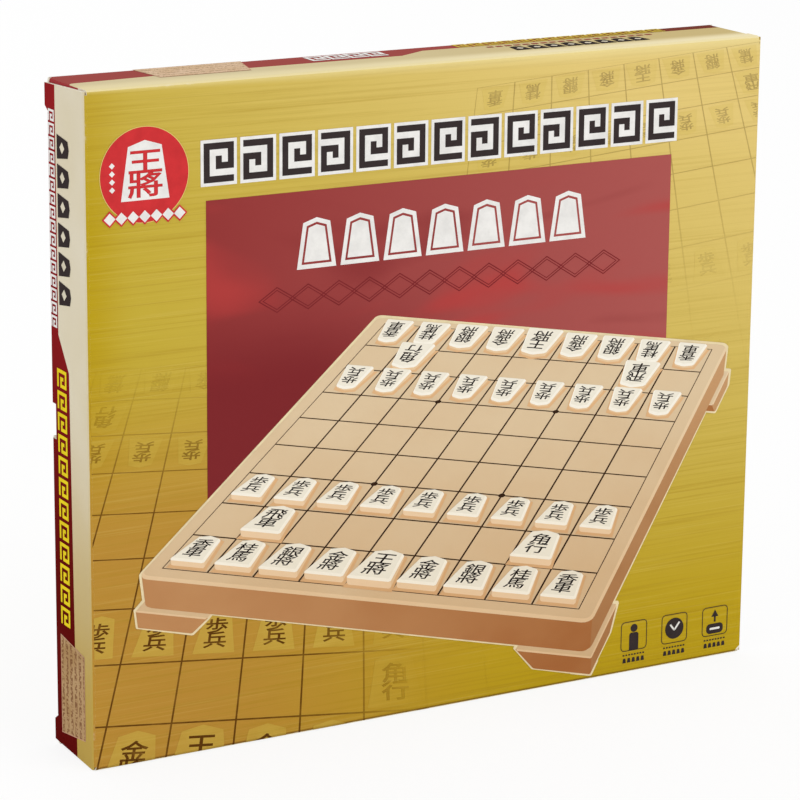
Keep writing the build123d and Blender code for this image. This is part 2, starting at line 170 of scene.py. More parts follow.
class Finish:
    """One procedural material in the making, measured in millimetres on the object."""

    def __init__(self, name, roughness=0.5, specular=0.0, coat=0.0):
        self.material = bpy.data.materials.new(name)
        self.material.use_nodes = True
        self.tree = self.material.node_tree
        self.shader = self.tree.nodes["Principled BSDF"]
        for socket, value in (
            ("Roughness", roughness),
            ("Specular IOR Level", specular),
            ("Coat Weight", coat),
            ("Coat Roughness", 0.2),
        ):
            self.shader.inputs[socket].default_value = value
        coordinates = self.node("ShaderNodeTexCoord")
        scaled = self.node("ShaderNodeVectorMath", operation="SCALE")
        scaled.inputs["Scale"].default_value = 1 / MM
        self.tree.links.new(coordinates.outputs["Object"], scaled.inputs[0])
        self.here = scaled.outputs[0]
        self.x, self.y, self.z = self.parts(self.here)
        self.facing = self.parts(coordinates.outputs["Normal"])

    def node(self, kind, **settings):
        node = self.tree.nodes.new(kind)
        for name, value in settings.items():
            setattr(node, name, value)
        return node

    def feed(self, entry, value):
        """Join a field or a colour socket to an entry, or set the entry's own value."""
        if isinstance(value, Field):
            self.tree.links.new(value.socket, entry)
        elif isinstance(value, bpy.types.NodeSocket):
            self.tree.links.new(value, entry)
        elif hasattr(value, "__len__"):
            entry.default_value = (*value[:3], 1.0)
        else:
            entry.default_value = value

    def parts(self, socket):
        node = self.node("ShaderNodeSeparateXYZ")
        self.tree.links.new(socket, node.inputs[0])
        return tuple(Field(self, output) for output in node.outputs)

    def noise(self, per_mm, detail=3.0, roughness=0.5, distortion=0.0, offset=0.0):
        """Noise with so many lumps a millimetre, all round or along each axis."""
        place = self.node("ShaderNodeVectorMath", operation="MULTIPLY_ADD")
        self.tree.links.new(self.here, place.inputs[0])
        place.inputs[1].default_value = per_mm if isinstance(per_mm, tuple) else (per_mm,) * 3
        place.inputs[2].default_value = (offset,) * 3
        node = self.node("ShaderNodeTexNoise")
        self.tree.links.new(place.outputs[0], node.inputs["Vector"])
        for socket, value in (
            ("Scale", 1.0),
            ("Detail", detail),
            ("Roughness", roughness),
            ("Distortion", distortion),
        ):
            node.inputs[socket].default_value = value
        return Field(self, node.outputs[0])

    def blend(self, factor, first, second):
        """Colour that goes from first to second as the factor goes from 0 to 1."""
        node = self.node("ShaderNodeMix", data_type="RGBA")
        self.feed(node.inputs[0], factor)
        self.feed(node.inputs[6], first)
        self.feed(node.inputs[7], second)
        return node.outputs[2]

    def layered(self, ground, *layers):
        """Colours laid over a ground one by one, each as strong as its own factor."""
        for factor, colour in layers:
            ground = self.blend(factor, ground, colour)
        return ground

    def done(self, colour, height=None, depth=0.1, roughness=None):
        """Join the colour, a height in millimetres and a roughness to the shader."""
        self.feed(self.shader.inputs["Base Color"], colour)
        if roughness is not None:
            self.feed(self.shader.inputs["Roughness"], roughness)
        if height is not None:
            bump = self.node("ShaderNodeBump")
            bump.inputs["Distance"].default_value = depth * MM
            self.feed(bump.inputs["Height"], height)
            self.tree.links.new(bump.outputs[0], self.shader.inputs["Normal"])
        return self.material

    def printed(self, colour):
        """Flat ink that shows the tooth of the paper."""
        return self.done(colour, self.noise(1.6) * 0.1, 0.05)

    def board(self, colour, outside):
        """Board with its flutes, smoother where it is printed outside."""
        return self.done(colour, board_relief(self, outside), 0.06, 0.62 - outside * 0.2)


def paint(node, material):
    """Give every slot of a CAD node a material."""
    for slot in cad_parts[node].material_slots:
        slot.material = material


# Carton board and its print


def gold_ground(f, shades):
    """Gold ground with fine grain along X, paler to the upper right and warmer to the lower left."""
    x = f.x + WIDTH / 2
    across = x / WIDTH
    # Deeper gold along the left edge is painted shade beside the left fold; towards the bottom the gold only
    # deepens
    rich = x.between(28.0, 0.0) + f.z.between(170.0, 20.0)
    # Paler to the upper right and along the top: the print's gradient with a painted sheen laid into it
    pale = across * f.z.between(0.0, 330.0) * 0.95 + f.z.between(270.0, 345.0) * (across * 0.3 + 0.12)
    warm = f.z.between(225.0, 105.0) * f.x.between(90.0, -150.0)
    streaks = f.noise((0.008, 0.5, 0.8), detail=5.0, roughness=0.65).between(0.45, 0.75)
    depth = 0.45 - across * f.z.between(80.0, 240.0) * 0.25
    shine = f.noise((0.012, 0.8, 1.4), offset=40.0).between(0.5, 0.8)
    # Painted sheen where the front turns into the top, over the print's pale cream
    fold = (HEIGHT - f.z).between(across * 8.0 + 2.5, -1.5)
    return f.layered(
        shades.gold,
        (rich.clipped() * 0.85, shades.gold_rich),
        (pale.clipped(), shades.gold_pale),
        (warm * 0.95, shades.gold_warm),
        (streaks * depth, shades.gold_deep),
        (shine * 0.16, shades.gold_light),
        (fold * 0.75, shades.fold),
        # Painted shadow along the bottom fold, in the faint-line brown
        (f.z.between(2.4, 1.0) * 0.7, shades.ghost_line_and_bottom_shadow),
    )


def top_ground(f, shades):
    """Top panel: cream, palest next to the front fold, with a red band along the back."""
    x = f.x + WIDTH / 2
    from_front = f.y + DEPTH / 2
    edge = 25.5 + 9.5 * ((x - 186.0) / 17.0).clipped() - 4.0 * ((60.0 - x) / 60.0).clipped()
    right = x.between(60.0, 385.0)
    red = f.blend(x.between(230.0, 385.0), shades.top_red, shades.top_red_deep)
    return f.layered(
        # Cream palest by the front fold, partly a painted highlight, and with painted shade towards the red
        # band
        f.blend(right, shades.top_cream_left, shades.top_cream),
        (from_front.between(5.0, 19.0), f.blend(right, shades.top_cream_deep, shades.top_cream_right)),
        # Painted sheen on the top's edge at the front fold, over the print's cream
        (from_front.between(4.0, 0.0) * 0.5, shades.fold),
        ((from_front - edge).above(0.0), red),
    )


def end_ground(f, shades, down):
    """End panel: cream that turns to gold near the floor, with a red band along the back that darkens as down
    grows: painted shade.
    """
    from_front = f.y + DEPTH / 2
    edge = 34.0 - 12.0 * ((down - 125.0) / 17.0).clipped() - 3.0 * ((down - 142.0) / 198.0).clipped()
    cloud = f.noise(0.02, detail=2.0)
    red = f.layered(
        shades.end_red,
        # Painted shade: the red band darkens as down grows
        (down.between(10.0, 280.0), shades.end_red_low_shade),
        (cloud.between(0.35, 0.7) * 0.3, shades.red_deep),
    )
    return f.layered(
        shades.cream,
        (cloud.between(0.3, 0.7), shades.cream_deep),
        (down.between(140.0, 320.0), shades.cream_gold),
        ((from_front - edge).above(0.0), red),
        (from_front.between(2.4, 0.3) * 0.2, shades.gold),
    )


def raw_board(f, shades):
    """Cut edge of the board: pale liners with a darker fluted core."""
    return f.blend(f.noise(0.7, detail=4.0).between(0.35, 0.75) * 0.6, shades.raw_edge, shades.kraft)


def plain_inside(f, shades):
    """Unprinted inner liner with short fibres."""
    fibres = f.noise((0.25, 0.25, 1.6), detail=5.0, roughness=0.7)
    return f.blend(fibres.between(0.35, 0.75) * 0.5, shades.inside, shades.inside_fleck)


def board_relief(f, printed):
    """Faint flutes and paper tooth under the print, in millimetres."""
    pitch = 1.9
    flutes = ((f.x + f.y) * (2 * math.pi / pitch)).wave() * 0.05
    return flutes * printed + f.noise(1.6) * 0.12 + f.noise(0.018, detail=2.0) * 1.2


def sleeve_finish(shades):
    """Print on the four outer panels, plain liner inside and raw cut edges."""
    f = Finish("carton_sleeve_print", roughness=0.48)
    nx, ny, nz = f.facing
    front = ny.below(-0.3) * f.y.below(-DEPTH / 2 + 2.1)
    back = ny.above(0.3) * f.y.above(DEPTH / 2 - 1.0)
    top = nz.above(0.6) * f.z.above(HEIGHT - 2.1)
    bottom = nz.below(-0.6) * f.z.below(2.1)
    outside = (front + back + top + bottom).clipped() * abs(nx).below(0.8)
    right = f.x - WIDTH / 2
    nub = (right * right + f.z * f.z).below(14.0) * f.noise(0.9).above(0.4)
    rub = f.noise(0.06, detail=6.0, roughness=0.75).between(0.56, 0.72)
    crease = abs(abs(ny) - 0.7).between(0.28, 0.1)
    cut = f.blend(abs(nx).above(0.8), plain_inside(f, shades), raw_board(f, shades))
    colour = f.layered(
        gold_ground(f, shades),
        ((top + bottom).clipped(), top_ground(f, shades)),
        ((crease * rub * 0.5 + nub).clipped(), shades.raw_edge),
    )
    return f.board(f.blend(outside, cut, colour), outside)


def end_finish(shades, side):
    """Outer face of an end panel with its band design, raw edges and plain inner face."""
    f = Finish(f"{side}_end_print", roughness=0.48)
    nx, ny, nz = f.facing
    outward = nx * (-1.0 if side == "left" else 1.0)
    down = HEIGHT - f.z if side == "left" else f.z + 0.0
    fold_back = ny.above(0.3) * f.y.above(DEPTH / 2 - 2.0)
    fold_front = ny.below(-0.3) * f.y.below(-DEPTH / 2 + 2.0)
    outside = (outward.above(0.3) + fold_back + fold_front).clipped() * abs(nz).below(0.7)
    rub = f.noise(0.07, detail=6.0, roughness=0.75).between(0.55, 0.72)
    crease = abs(abs(ny) - 0.6).between(0.3, 0.1)
    colour = f.blend(crease * rub * 0.2, end_ground(f, shades, down), shades.raw_edge)
    cut = f.blend(outward.below(-0.5), raw_board(f, shades), plain_inside(f, shades))
    return f.board(f.blend(outside, cut, colour), outside)


def flap_finish(shades, kind):
    """Tuck or dust flap: red bleed next to its crease, then bare board."""
    f = Finish(f"{kind}_flap_board", roughness=0.6, specular=0.1)
    nx, ny, nz = f.facing
    if kind == "tuck":
        outer = ny.above(0.2)
        from_crease = WIDTH / 2 - abs(f.x)
        flat = abs(nz).below(0.7)
    else:
        outer = (abs(nx) * (abs(f.x) - WIDTH / 2 + 2.2).above(0.0) + abs(nz)).above(0.4)
        from_crease = HEIGHT / 2 - abs(f.z - HEIGHT / 2)
        flat = abs(ny).below(0.7)
    bleed = (from_crease + f.noise(0.3) * 0.6).below(7.0)
    face = f.blend(outer * bleed, plain_inside(f, shades), shades.end_red)
    return f.done(f.blend(flat, raw_board(f, shades), face), board_relief(f, flat), 0.06)


def red_finish(shades):
    """Brushed red with soft light across its upper right and darker corners."""
    f = Finish("red_panel_print", roughness=0.48)
    folds = f.noise((0.006, 0.01, 0.019), detail=2.0, distortion=0.8, offset=3.0)
    colour = f.layered(
        shades.red,
        (((f.x + 130.0) / 270.0).clipped(), shades.red_light),
        (folds.between(0.42, 0.2) * 0.7, shades.red_shadow),
        (folds.between(0.5, 0.66) * 0.75, shades.red_bright),
        (f.z.between(240.0, 185.0) * f.x.between(30.0, -80.0), shades.red_shadow),
    )
    return f.printed(colour)


def flat_ink(name, colour, roughness=0.5, specular=0.0):
    """Solid print ink with the paper's mottle."""
    f = Finish(name, roughness=roughness, specular=specular)
    mottle = f.noise(0.12, detail=4.0, roughness=0.6)
    return f.printed(f.blend(mottle.between(0.3, 0.75), colour, dimmed(colour, 0.86)))


def speckled_finish(name, light, deep, mark, strength):
    """Tan print with rows of small worn specks."""
    f = Finish(name)
    pitch = 5.2
    rows = (f.y * (2 * math.pi / pitch)).wave().above(-0.25)
    specks = f.noise((1.1, 0.6, 0.9), detail=2.0).above(0.5)
    cloud = f.noise(0.1).between(0.3, 0.7)
    return f.printed(f.layered(light, (cloud, deep), (specks * rows * strength, mark)))


def faint_ink(name, shades, colour, spans, strength):
    """Ink that fades into the gold ground across and up the panel."""
    f = Finish(name, roughness=0.48)
    up, across = spans
    fade = f.z.between(*up) * (f.x + WIDTH / 2).between(*across)
    worn = f.noise(0.1).between(0.2, 0.6)
    colour = f.blend(fade * (worn * 0.3 + 0.7) * strength, gold_ground(f, shades), colour)
    return f.done(colour, board_relief(f, 1.0), 0.06)


def picture_wood(name, light, deep, across=None):
    """Soft wood shading of the picture, deeper lower down or else across the panel."""
    f = Finish(name)
    cloud = f.noise((0.02, 0.02, 0.03)).between(0.35, 0.7)
    fall = f.x.between(*across) if across else f.z.between(205.0, 30.0)
    return f.printed(f.blend(fall * 0.8 + cloud * 0.2, ink(*light), ink(*deep)))


# Board, playing pieces and what lies with them


def moulding_finish(shades):
    """Moulded board with flow marks."""
    f = Finish("board_moulding", roughness=0.45, specular=0.45)
    flow = f.noise((0.015, 0.2, 0.05), detail=4.0, distortion=0.8)
    colour = f.blend(flow.between(0.35, 0.7), shades.moulding, shades.moulding_deep)
    return f.done(colour, f.noise(2.2, detail=2.0) * 0.4, 0.08)


def play_finish(shades):
    """Straight wood grain with dark ink in the engraved lines and stars."""
    f = Finish("play_panel_grain", roughness=0.35, specular=0.5, coat=0.15)
    low, high = (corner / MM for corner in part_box("play_panel"))
    margin = 4.0
    rings = f.noise((0.35, 0.3, 0.006), detail=5.0, distortion=0.3)
    pores = f.noise((3.0, 1.0, 0.08))
    engraved = f.y.above(low.y + 0.1) * f.y.below(low.y + 0.9)
    inner = abs(f.x).below(high.x - margin) * f.z.above(low.z + margin) * f.z.below(high.z - margin)
    colour = f.layered(
        shades.face,
        (rings.between(0.35, 0.7), shades.face_deep),
        (pores.between(0.6, 0.8) * 0.25, shades.moulding_deep),
        (engraved * inner, shades.line),
    )
    return f.done(colour, rings * 0.1 + pores * 0.1, 0.08)


def tray_finish(shades):
    """Thin formed sheet, drawn a little unevenly."""
    f = Finish("tray_sheet", roughness=0.22, specular=0.55)
    drawn = f.noise(0.08)
    return f.done(f.blend(drawn.between(0.3, 0.7), shades.tray, dimmed(shades.tray, 0.94)), drawn * 0.8, 0.1)


def card_finish(shades):
    """White card with fine fibres."""
    f = Finish("white_card", roughness=0.6, specular=0.3)
    fibres = f.noise(0.8, detail=5.0, roughness=0.7)
    paper = f.blend(fibres.between(0.4, 0.7), shades.paper, dimmed(shades.paper, 0.9))
    return f.done(paper, fibres * 0.3, 0.06)


def leaflet_finish(shades):
    """White paper with grey rows in two columns, like a page of rules seen from afar."""
    f = Finish("leaflet_paper", roughness=0.55, specular=0.3)
    low, high = (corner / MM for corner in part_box("rules_leaflet"))
    pitch, column_middle, column_half = 4.2, 42.0, 34.0
    rows = (f.z * (2 * math.pi / pitch)).wave().above(0.35)
    words = f.noise((0.5, 0.5, 0.3), detail=1.0).above(0.42)
    column = abs(abs(f.x - (low.x + high.x) / 2) - column_middle).below(column_half)
    page = f.z.above(low.z + 16.0) * f.z.below(high.z - 34.0)
    face = abs(f.facing[1]).above(0.9)
    paper = f.blend(f.noise(0.4, detail=4.0).between(0.3, 0.7), shades.paper, dimmed(shades.paper, 0.93))
    return f.done(f.blend(rows * words * column * page * face * 0.55, paper, ink(110, 106, 100)))


def koma_finish(shades):
    """Pale wood of the playing pieces."""
    f = Finish("piece_grain", roughness=0.4, specular=0.45)
    grain = f.noise((0.9, 0.5, 0.04), detail=5.0, distortion=0.4)
    return f.done(f.blend(grain.between(0.35, 0.72), shades.piece, shades.piece_deep), grain * 0.2, 0.06)


# Modelling


def pick(obj):
    """Select one object alone and make it active."""
    bpy.ops.object.select_all(action="DESELECT")
    obj.select_set(True)
    bpy.context.view_layer.objects.active = obj


def start(name):
    """Name the primitive just added."""
    obj = bpy.context.active_object
    obj.name = name
    obj.data.name = name
    return obj


@contextmanager
def editing(obj, faces=None):
    """Edit mode with the faces that a rule picks, or all of them."""
    pick(obj)
    bpy.context.tool_settings.mesh_select_mode = (False, False, True)
    bpy.ops.object.mode_set(mode="EDIT")
    bpy.ops.mesh.select_all(action="SELECT" if faces is None else "DESELECT")
    bpy.ops.object.mode_set(mode="OBJECT")
    if faces is not None:
        for polygon in obj.data.polygons:
            polygon.select = bool(faces(polygon))
    bpy.ops.object.mode_set(mode="EDIT")
    yield
    bpy.ops.object.mode_set(mode="OBJECT")


def modified(obj, kind, **settings):
    """Add a modifier and apply it."""
    pick(obj)
    modifier = obj.modifiers.new(kind.title(), kind)
    for name, value in settings.items():
        setattr(modifier, name, value)
    bpy.ops.object.modifier_apply(modifier=modifier.name)
    return obj


def moved(obj, matrix):
    """Move a mesh inside its object."""
    obj.data.transform(matrix)
    return obj


def at(x, y, z=0.0, turn=0.0):
    """Place in millimetres, with a turn in degrees about Z."""
    return Matrix.Translation(Vector((x, y, z)) * MM) @ Matrix.Rotation(math.radians(turn), 4, "Z")


def stretched(obj, x, y, z=1.0):
    """Stretch a mesh along its axes."""
    return moved(obj, Matrix.Diagonal((x, y, z, 1.0)))


def copy_of(source, matrix):
    """A copy with its own mesh."""
    twin = source.copy()
    twin.data = source.data.copy()
    bpy.context.collection.objects.link(twin)
    return moved(twin, matrix)


def gone(objects):
    """Remove figures that were only copied from."""
    for obj in objects:
        bpy.data.objects.remove(obj)


def rows_of(source, places):
    """Copies of one figure at several places; the first figure goes."""
    copies = [copy_of(source, place) for place in places]
    gone([source])
    return copies


def joined(name, objects):
    """Join figures into one piece."""
    pick(objects[0])
    for obj in objects:
        obj.select_set(True)
    bpy.ops.object.join()
    return start(name)


def dyed(obj, material):
    """Give a figure one ink."""
    obj.data.materials.clear()
    obj.data.materials.append(material)
    for polygon in obj.data.polygons:
        polygon.material_index = 0
    return obj


def thickened(obj):
    """Give a flat figure the ink's own thickness."""
    return modified(obj, "SOLIDIFY", thickness=INK * MM, offset=1.0)


def inked(obj, material, layer):
    """Give a flat figure its ink and its layer."""
    return thickened(moved(dyed(obj, material), at(0, 0, layer)))


def raised(obj, height):
    """Raise a flat figure to a solid."""
    with editing(obj):
        bpy.ops.mesh.extrude_region_move(TRANSFORM_OT_translate={"value": (0, 0, height * MM)})
    return obj


def outward(obj):
    """Turn the faces of a solid outwards."""
    with editing(obj):
        bpy.ops.mesh.normals_make_consistent(inside=False)
    return obj


def lattice(name, rows, cell, grow=0):
    """Figure cut from a fine grid, some squares to a cell, grown by a few squares all round."""
    columns, lines = len(rows[0]) * FINE, len(rows) * FINE
    margin = 2
    across, up = columns + 2 * margin, lines + 2 * margin
    bpy.ops.mesh.primitive_grid_add(x_subdivisions=across, y_subdivisions=up, size=1.0)
    obj = start(name)
    near = range(-grow, grow + 1)

    def filled(column, line):
        return 0 <= column < columns and 0 <= line < lines and rows[line // FINE][column // FINE] == "#"

    def outside(polygon):
        column = int((polygon.center.x + 0.5) * across) - margin
        line = int((0.5 - polygon.center.y) * up) - margin
        return not any(filled(column + a, line + b) for a in near for b in near)

    with editing(obj, outside):
        bpy.ops.mesh.delete(type="FACE")
        bpy.ops.mesh.select_all(action="SELECT")
        bpy.ops.mesh.dissolve_limited(angle_limit=0.01)
    unit = cell / FINE * MM
    return stretched(obj, unit * across, unit * up)


def disc(name, radius, corners=48):
    """Flat round or many-sided figure."""
    bpy.ops.mesh.primitive_circle_add(vertices=corners, radius=radius * MM, fill_type="NGON")
    return start(name)


def ring_of(obj, width):
    """Keep only a rim of a flat figure."""
    with editing(obj):
        bpy.ops.mesh.inset(thickness=width * MM)
        bpy.ops.mesh.delete(type="FACE")
    return obj


def middle_of(obj, width):
    """Keep only the middle of a flat figure, inside a rim."""
    with editing(obj):
        bpy.ops.mesh.inset(thickness=width * MM)
        bpy.ops.mesh.select_all(action="INVERT")
        bpy.ops.mesh.delete(type="FACE")
    return obj


def bar(name, width, height, round_by=0.0):
    """Flat bar, with rounded corners where asked."""
    bpy.ops.mesh.primitive_plane_add(size=1.0)
    obj = stretched(start(name), width * MM, height * MM)
    if round_by:
        with editing(obj):
            bpy.ops.mesh.bevel(affect="VERTICES", offset=round_by * MM, segments=4)
    return obj


def shaped(name, corners):
    """Flat figure with its corners, in millimetres, anticlockwise."""
    bpy.ops.mesh.primitive_circle_add(vertices=len(corners), radius=MM, fill_type="NGON")
    obj = start(name)
    order = sorted(obj.data.vertices, key=lambda vertex: math.atan2(vertex.co.y, vertex.co.x) % (2 * math.pi))
    for vertex, corner in zip(order, corners):
        vertex.co = Vector((*corner, 0.0)) * MM
    return obj


def koma_corners(length, width):
    """Outline of a playing piece about its foot, anticlockwise from the right of the foot."""
    lean, slope = math.tan(math.radians(8.5)), math.tan(math.radians(17.5))
    shoulder = (length - width / 2 * slope) / (1 - lean * slope)
    half = width / 2 - shoulder * lean
    return [(width / 2, 0), (half, shoulder), (0, length), (-half, shoulder), (-width / 2, 0)]


def emblem(name, length, width, rim, gap):
    """Playing-piece figure: a rim, a gap and a solid middle."""
    corners = koma_corners(length, width)
    outer = ring_of(shaped("rim", corners), rim)
    return joined(name, [outer, middle_of(shaped("middle", corners), rim + gap)])


def koma_solid(name, length, width, thick, edge):
    """Wedge of a playing piece lying on its back, thick at its foot."""
    obj = raised(shaped(name, koma_corners(length, width)), thick)
    for vertex in obj.data.vertices:
        if vertex.co.z > thick * MM / 2:
            vertex.co.z -= vertex.co.y * FALL
    return modified(outward(obj), "BEVEL", width=edge * MM, segments=1, limit_method="ANGLE")


def written(text, height, weight=0.016, wide=1.2):
    """Standard mark as thin closed ink, one character above the other, centred, with heavy strokes."""
    bpy.ops.object.select_all(action="DESELECT")
    bpy.ops.object.text_add()
    obj = start("mark")
    obj.data.body = text
    obj.data.align_x, obj.data.align_y = "CENTER", "CENTER"
    obj.data.space_line = 0.86
    obj.data.resolution_u = 2
    obj.data.bevel_depth, obj.data.bevel_resolution = weight, 0
    bpy.ops.object.convert(target="MESH")
    obj = start("mark")
    spread = [[vertex.co[axis] for vertex in obj.data.vertices] for axis in range(3)]
    low, high = (Vector([limit(values) for values in spread]) for limit in (min, max))
    size = height * MM / (high.y - low.y)
    moved(obj, Matrix.Translation((-(low.x + high.x) / 2, -(low.y + high.y) / 2, -low.z)))
    return stretched(obj, size * wide, size, INK * MM / (high.z - low.z))


def mark_on(kind, scale=1.0, share=0.7):
    """Standard mark of a kind, a share of the scaled piece's length high, where it stands on the piece."""
    text, length = KOMA[kind][0], KOMA[kind][1] * scale
    return moved(written(text, length * share), at(0, length * 0.47))


def heights_of(obj):
    return [vertex.co.z for vertex in obj.data.vertices]


PANELS = {
    "front": ((LOW.x, LOW.y, LOW.z), (1, 0, 0), (0, 0, 1)),
    "top": ((LOW.x, LOW.y, HIGH.z), (1, 0, 0), (0, 1, 0)),
    "left": ((LOW.x, HIGH.y, HIGH.z), (0, 0, -1), (0, -1, 0)),
    "right": ((HIGH.x, HIGH.y, LOW.z), (0, 0, 1), (0, -1, 0)),
}


def onto(panel):
    """Matrix from a figure's own plane to a panel of the carton."""
    corner, right, up = (Vector(part) for part in PANELS[panel])
    turn = Matrix((right, up, right.cross(up))).transposed().to_4x4()
    return Matrix.Translation(corner) @ turn


def keep(obj, panel="front", body="carton"):
    """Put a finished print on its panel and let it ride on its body."""
    moved(obj, onto(panel))
    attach(obj, body)


class PressedPicture:
    """Lays solids down as flat print: only the faces that its viewer sees, in the viewer's perspective."""

    def __init__(self, turn, rise, distance, size, middle):
        turn, rise = math.radians(turn), math.radians(rise)
        self.right = Vector((math.cos(turn), math.sin(turn), 0))
        level = math.cos(rise)
        self.back = Vector((math.sin(turn) * level, -math.cos(turn) * level, math.sin(rise)))
        self.up = self.back.cross(self.right)
        self.distance, self.size, self.middle = distance * MM, size, Vector((*middle, 0)) * MM

    def press(self, obj, layer):
        viewer = self.back * self.distance
        with editing(obj, lambda face: face.normal.dot(viewer - face.center) <= 1e-9):
            bpy.ops.mesh.delete(type="FACE")
        return thickened(self.lay(obj, layer, [0.0] * len(obj.data.vertices)))

    def lay(self, obj, layer, heights):
        """Put each point where the viewer sees it, at its own height over the layer."""
        for vertex, height in zip(obj.data.vertices, heights):
            spread = self.size * self.distance / (self.distance - vertex.co.dot(self.back))
            across, up = vertex.co.dot(self.right) * spread, vertex.co.dot(self.up) * spread
            vertex.co = Vector((across + self.middle.x, up + self.middle.y, layer * MM + height))
        return obj


def side_inks(obj, inks):
    """Give each face the ink of the side it looks to: up, front, end or edge."""
    obj.data.materials.clear()
    for material in inks:
        obj.data.materials.append(material)
    up, front, end, edge = range(4)
    for polygon in obj.data.polygons:
        n = polygon.normal
        sloped = edge if n.z > 0.3 else front if n.y < -0.5 else end
        polygon.material_index = up if n.z > 0.97 else sloped
    return obj


def trimmed(obj, low, high):
    """Cut closed print off at its limits, in millimetres, and close it again."""
    for place, away in (
        ((low[0], 0, 0), (-1, 0, 0)),
        ((high[0], 0, 0), (1, 0, 0)),
        ((0, low[1], 0), (0, -1, 0)),
        ((0, high[1], 0), (0, 1, 0)),
    ):
        with editing(obj):
            bpy.ops.mesh.bisect(plane_co=Vector(place) * MM, plane_no=away, use_fill=True, clear_outer=True)
    return obj


def ruled_grid(thick):
    """Nine by nine cells as one flat figure of ruled lines."""
    bpy.ops.mesh.primitive_grid_add(x_subdivisions=9, y_subdivisions=9, size=1.0)
    grid = stretched(start("ruled_grid"), 9 * CELL_ACROSS * MM, 9 * CELL_ALONG * MM)
    with editing(grid):
        bpy.ops.mesh.inset(thickness=thick / 2 * MM, use_outset=True)
        bpy.ops.mesh.inset(thickness=thick / 2 * MM, use_individual=True)
        bpy.ops.mesh.delete(type="FACE")
    return grid


def opening_array(size, shift=(0, 0)):
    """Kind, row and place of each piece of the opening array; the far player's pieces face down the board."""
    places = []
    for column, kind in enumerate(BACK_RANK):
        places += [(kind, column, 0, False), (kind, column, 8, True)]
        places += [("pawn", column, 2, False), ("pawn", column, 6, True)]
    places += [("bishop", 1, 1, False), ("rook", 7, 1, False), ("rook", 1, 7, True), ("bishop", 7, 7, True)]
    for kind, column, row, near in places:
        half = size * KOMA[kind][1] / 2
        x, y = (column - 4) * CELL_ACROSS + shift[0], (4 - row) * CELL_ALONG + shift[1]
        yield kind, row, at(x, y - half) if near else at(x, y + half, turn=180)


def evenly(span, width, gap):
    """Centres of as many figures as a span holds, from end to end of it."""
    count = round((span[1] - span[0] + gap) / (width + gap))
    step = (span[1] - span[0] - width) / (count - 1)
    return [span[0] + width / 2 + step * index for index in range(count)]


def overlapping_row(first, step, count, up):
    """Places at even steps, every other one a step of paint higher, because neighbours overlap."""
    return [at(first + step * index, up, PAINTED * (index % 2)) for index in range(count)]


def centred_row(middle, step, count, up):
    """Places at even steps, as many to the left of the middle as to its right."""
    return [at(middle + step * (index - (count - 1) / 2), up) for index in range(count)]


# Settings that a user would change


def shade_property(name, words, colour):
    """A colour, given as it is seen, each part from 0 to 255."""
    return bpy.props.FloatVectorProperty(
        name=name, description=words, default=ink(*colour), subtype="COLOR", size=3, min=0.0, max=1.0
    )


def length_property(name, words, length):
    """A length, given in millimetres and kept in metres."""
    return bpy.props.FloatProperty(
        name=name, description=words, default=length * MM, subtype="DISTANCE", unit="LENGTH", min=0.0
    )


def angle_property(name, words, degrees):
    """An angle, given in degrees and kept in radians."""
    return bpy.props.FloatProperty(
        name=name, description=words, default=math.radians(degrees), subtype="ANGLE"
    )


def power_property(name, words, watts):
    """A lamp's power."""
    return bpy.props.FloatProperty(
        name=name, description=words, default=watts, subtype="POWER", unit="POWER"
    )


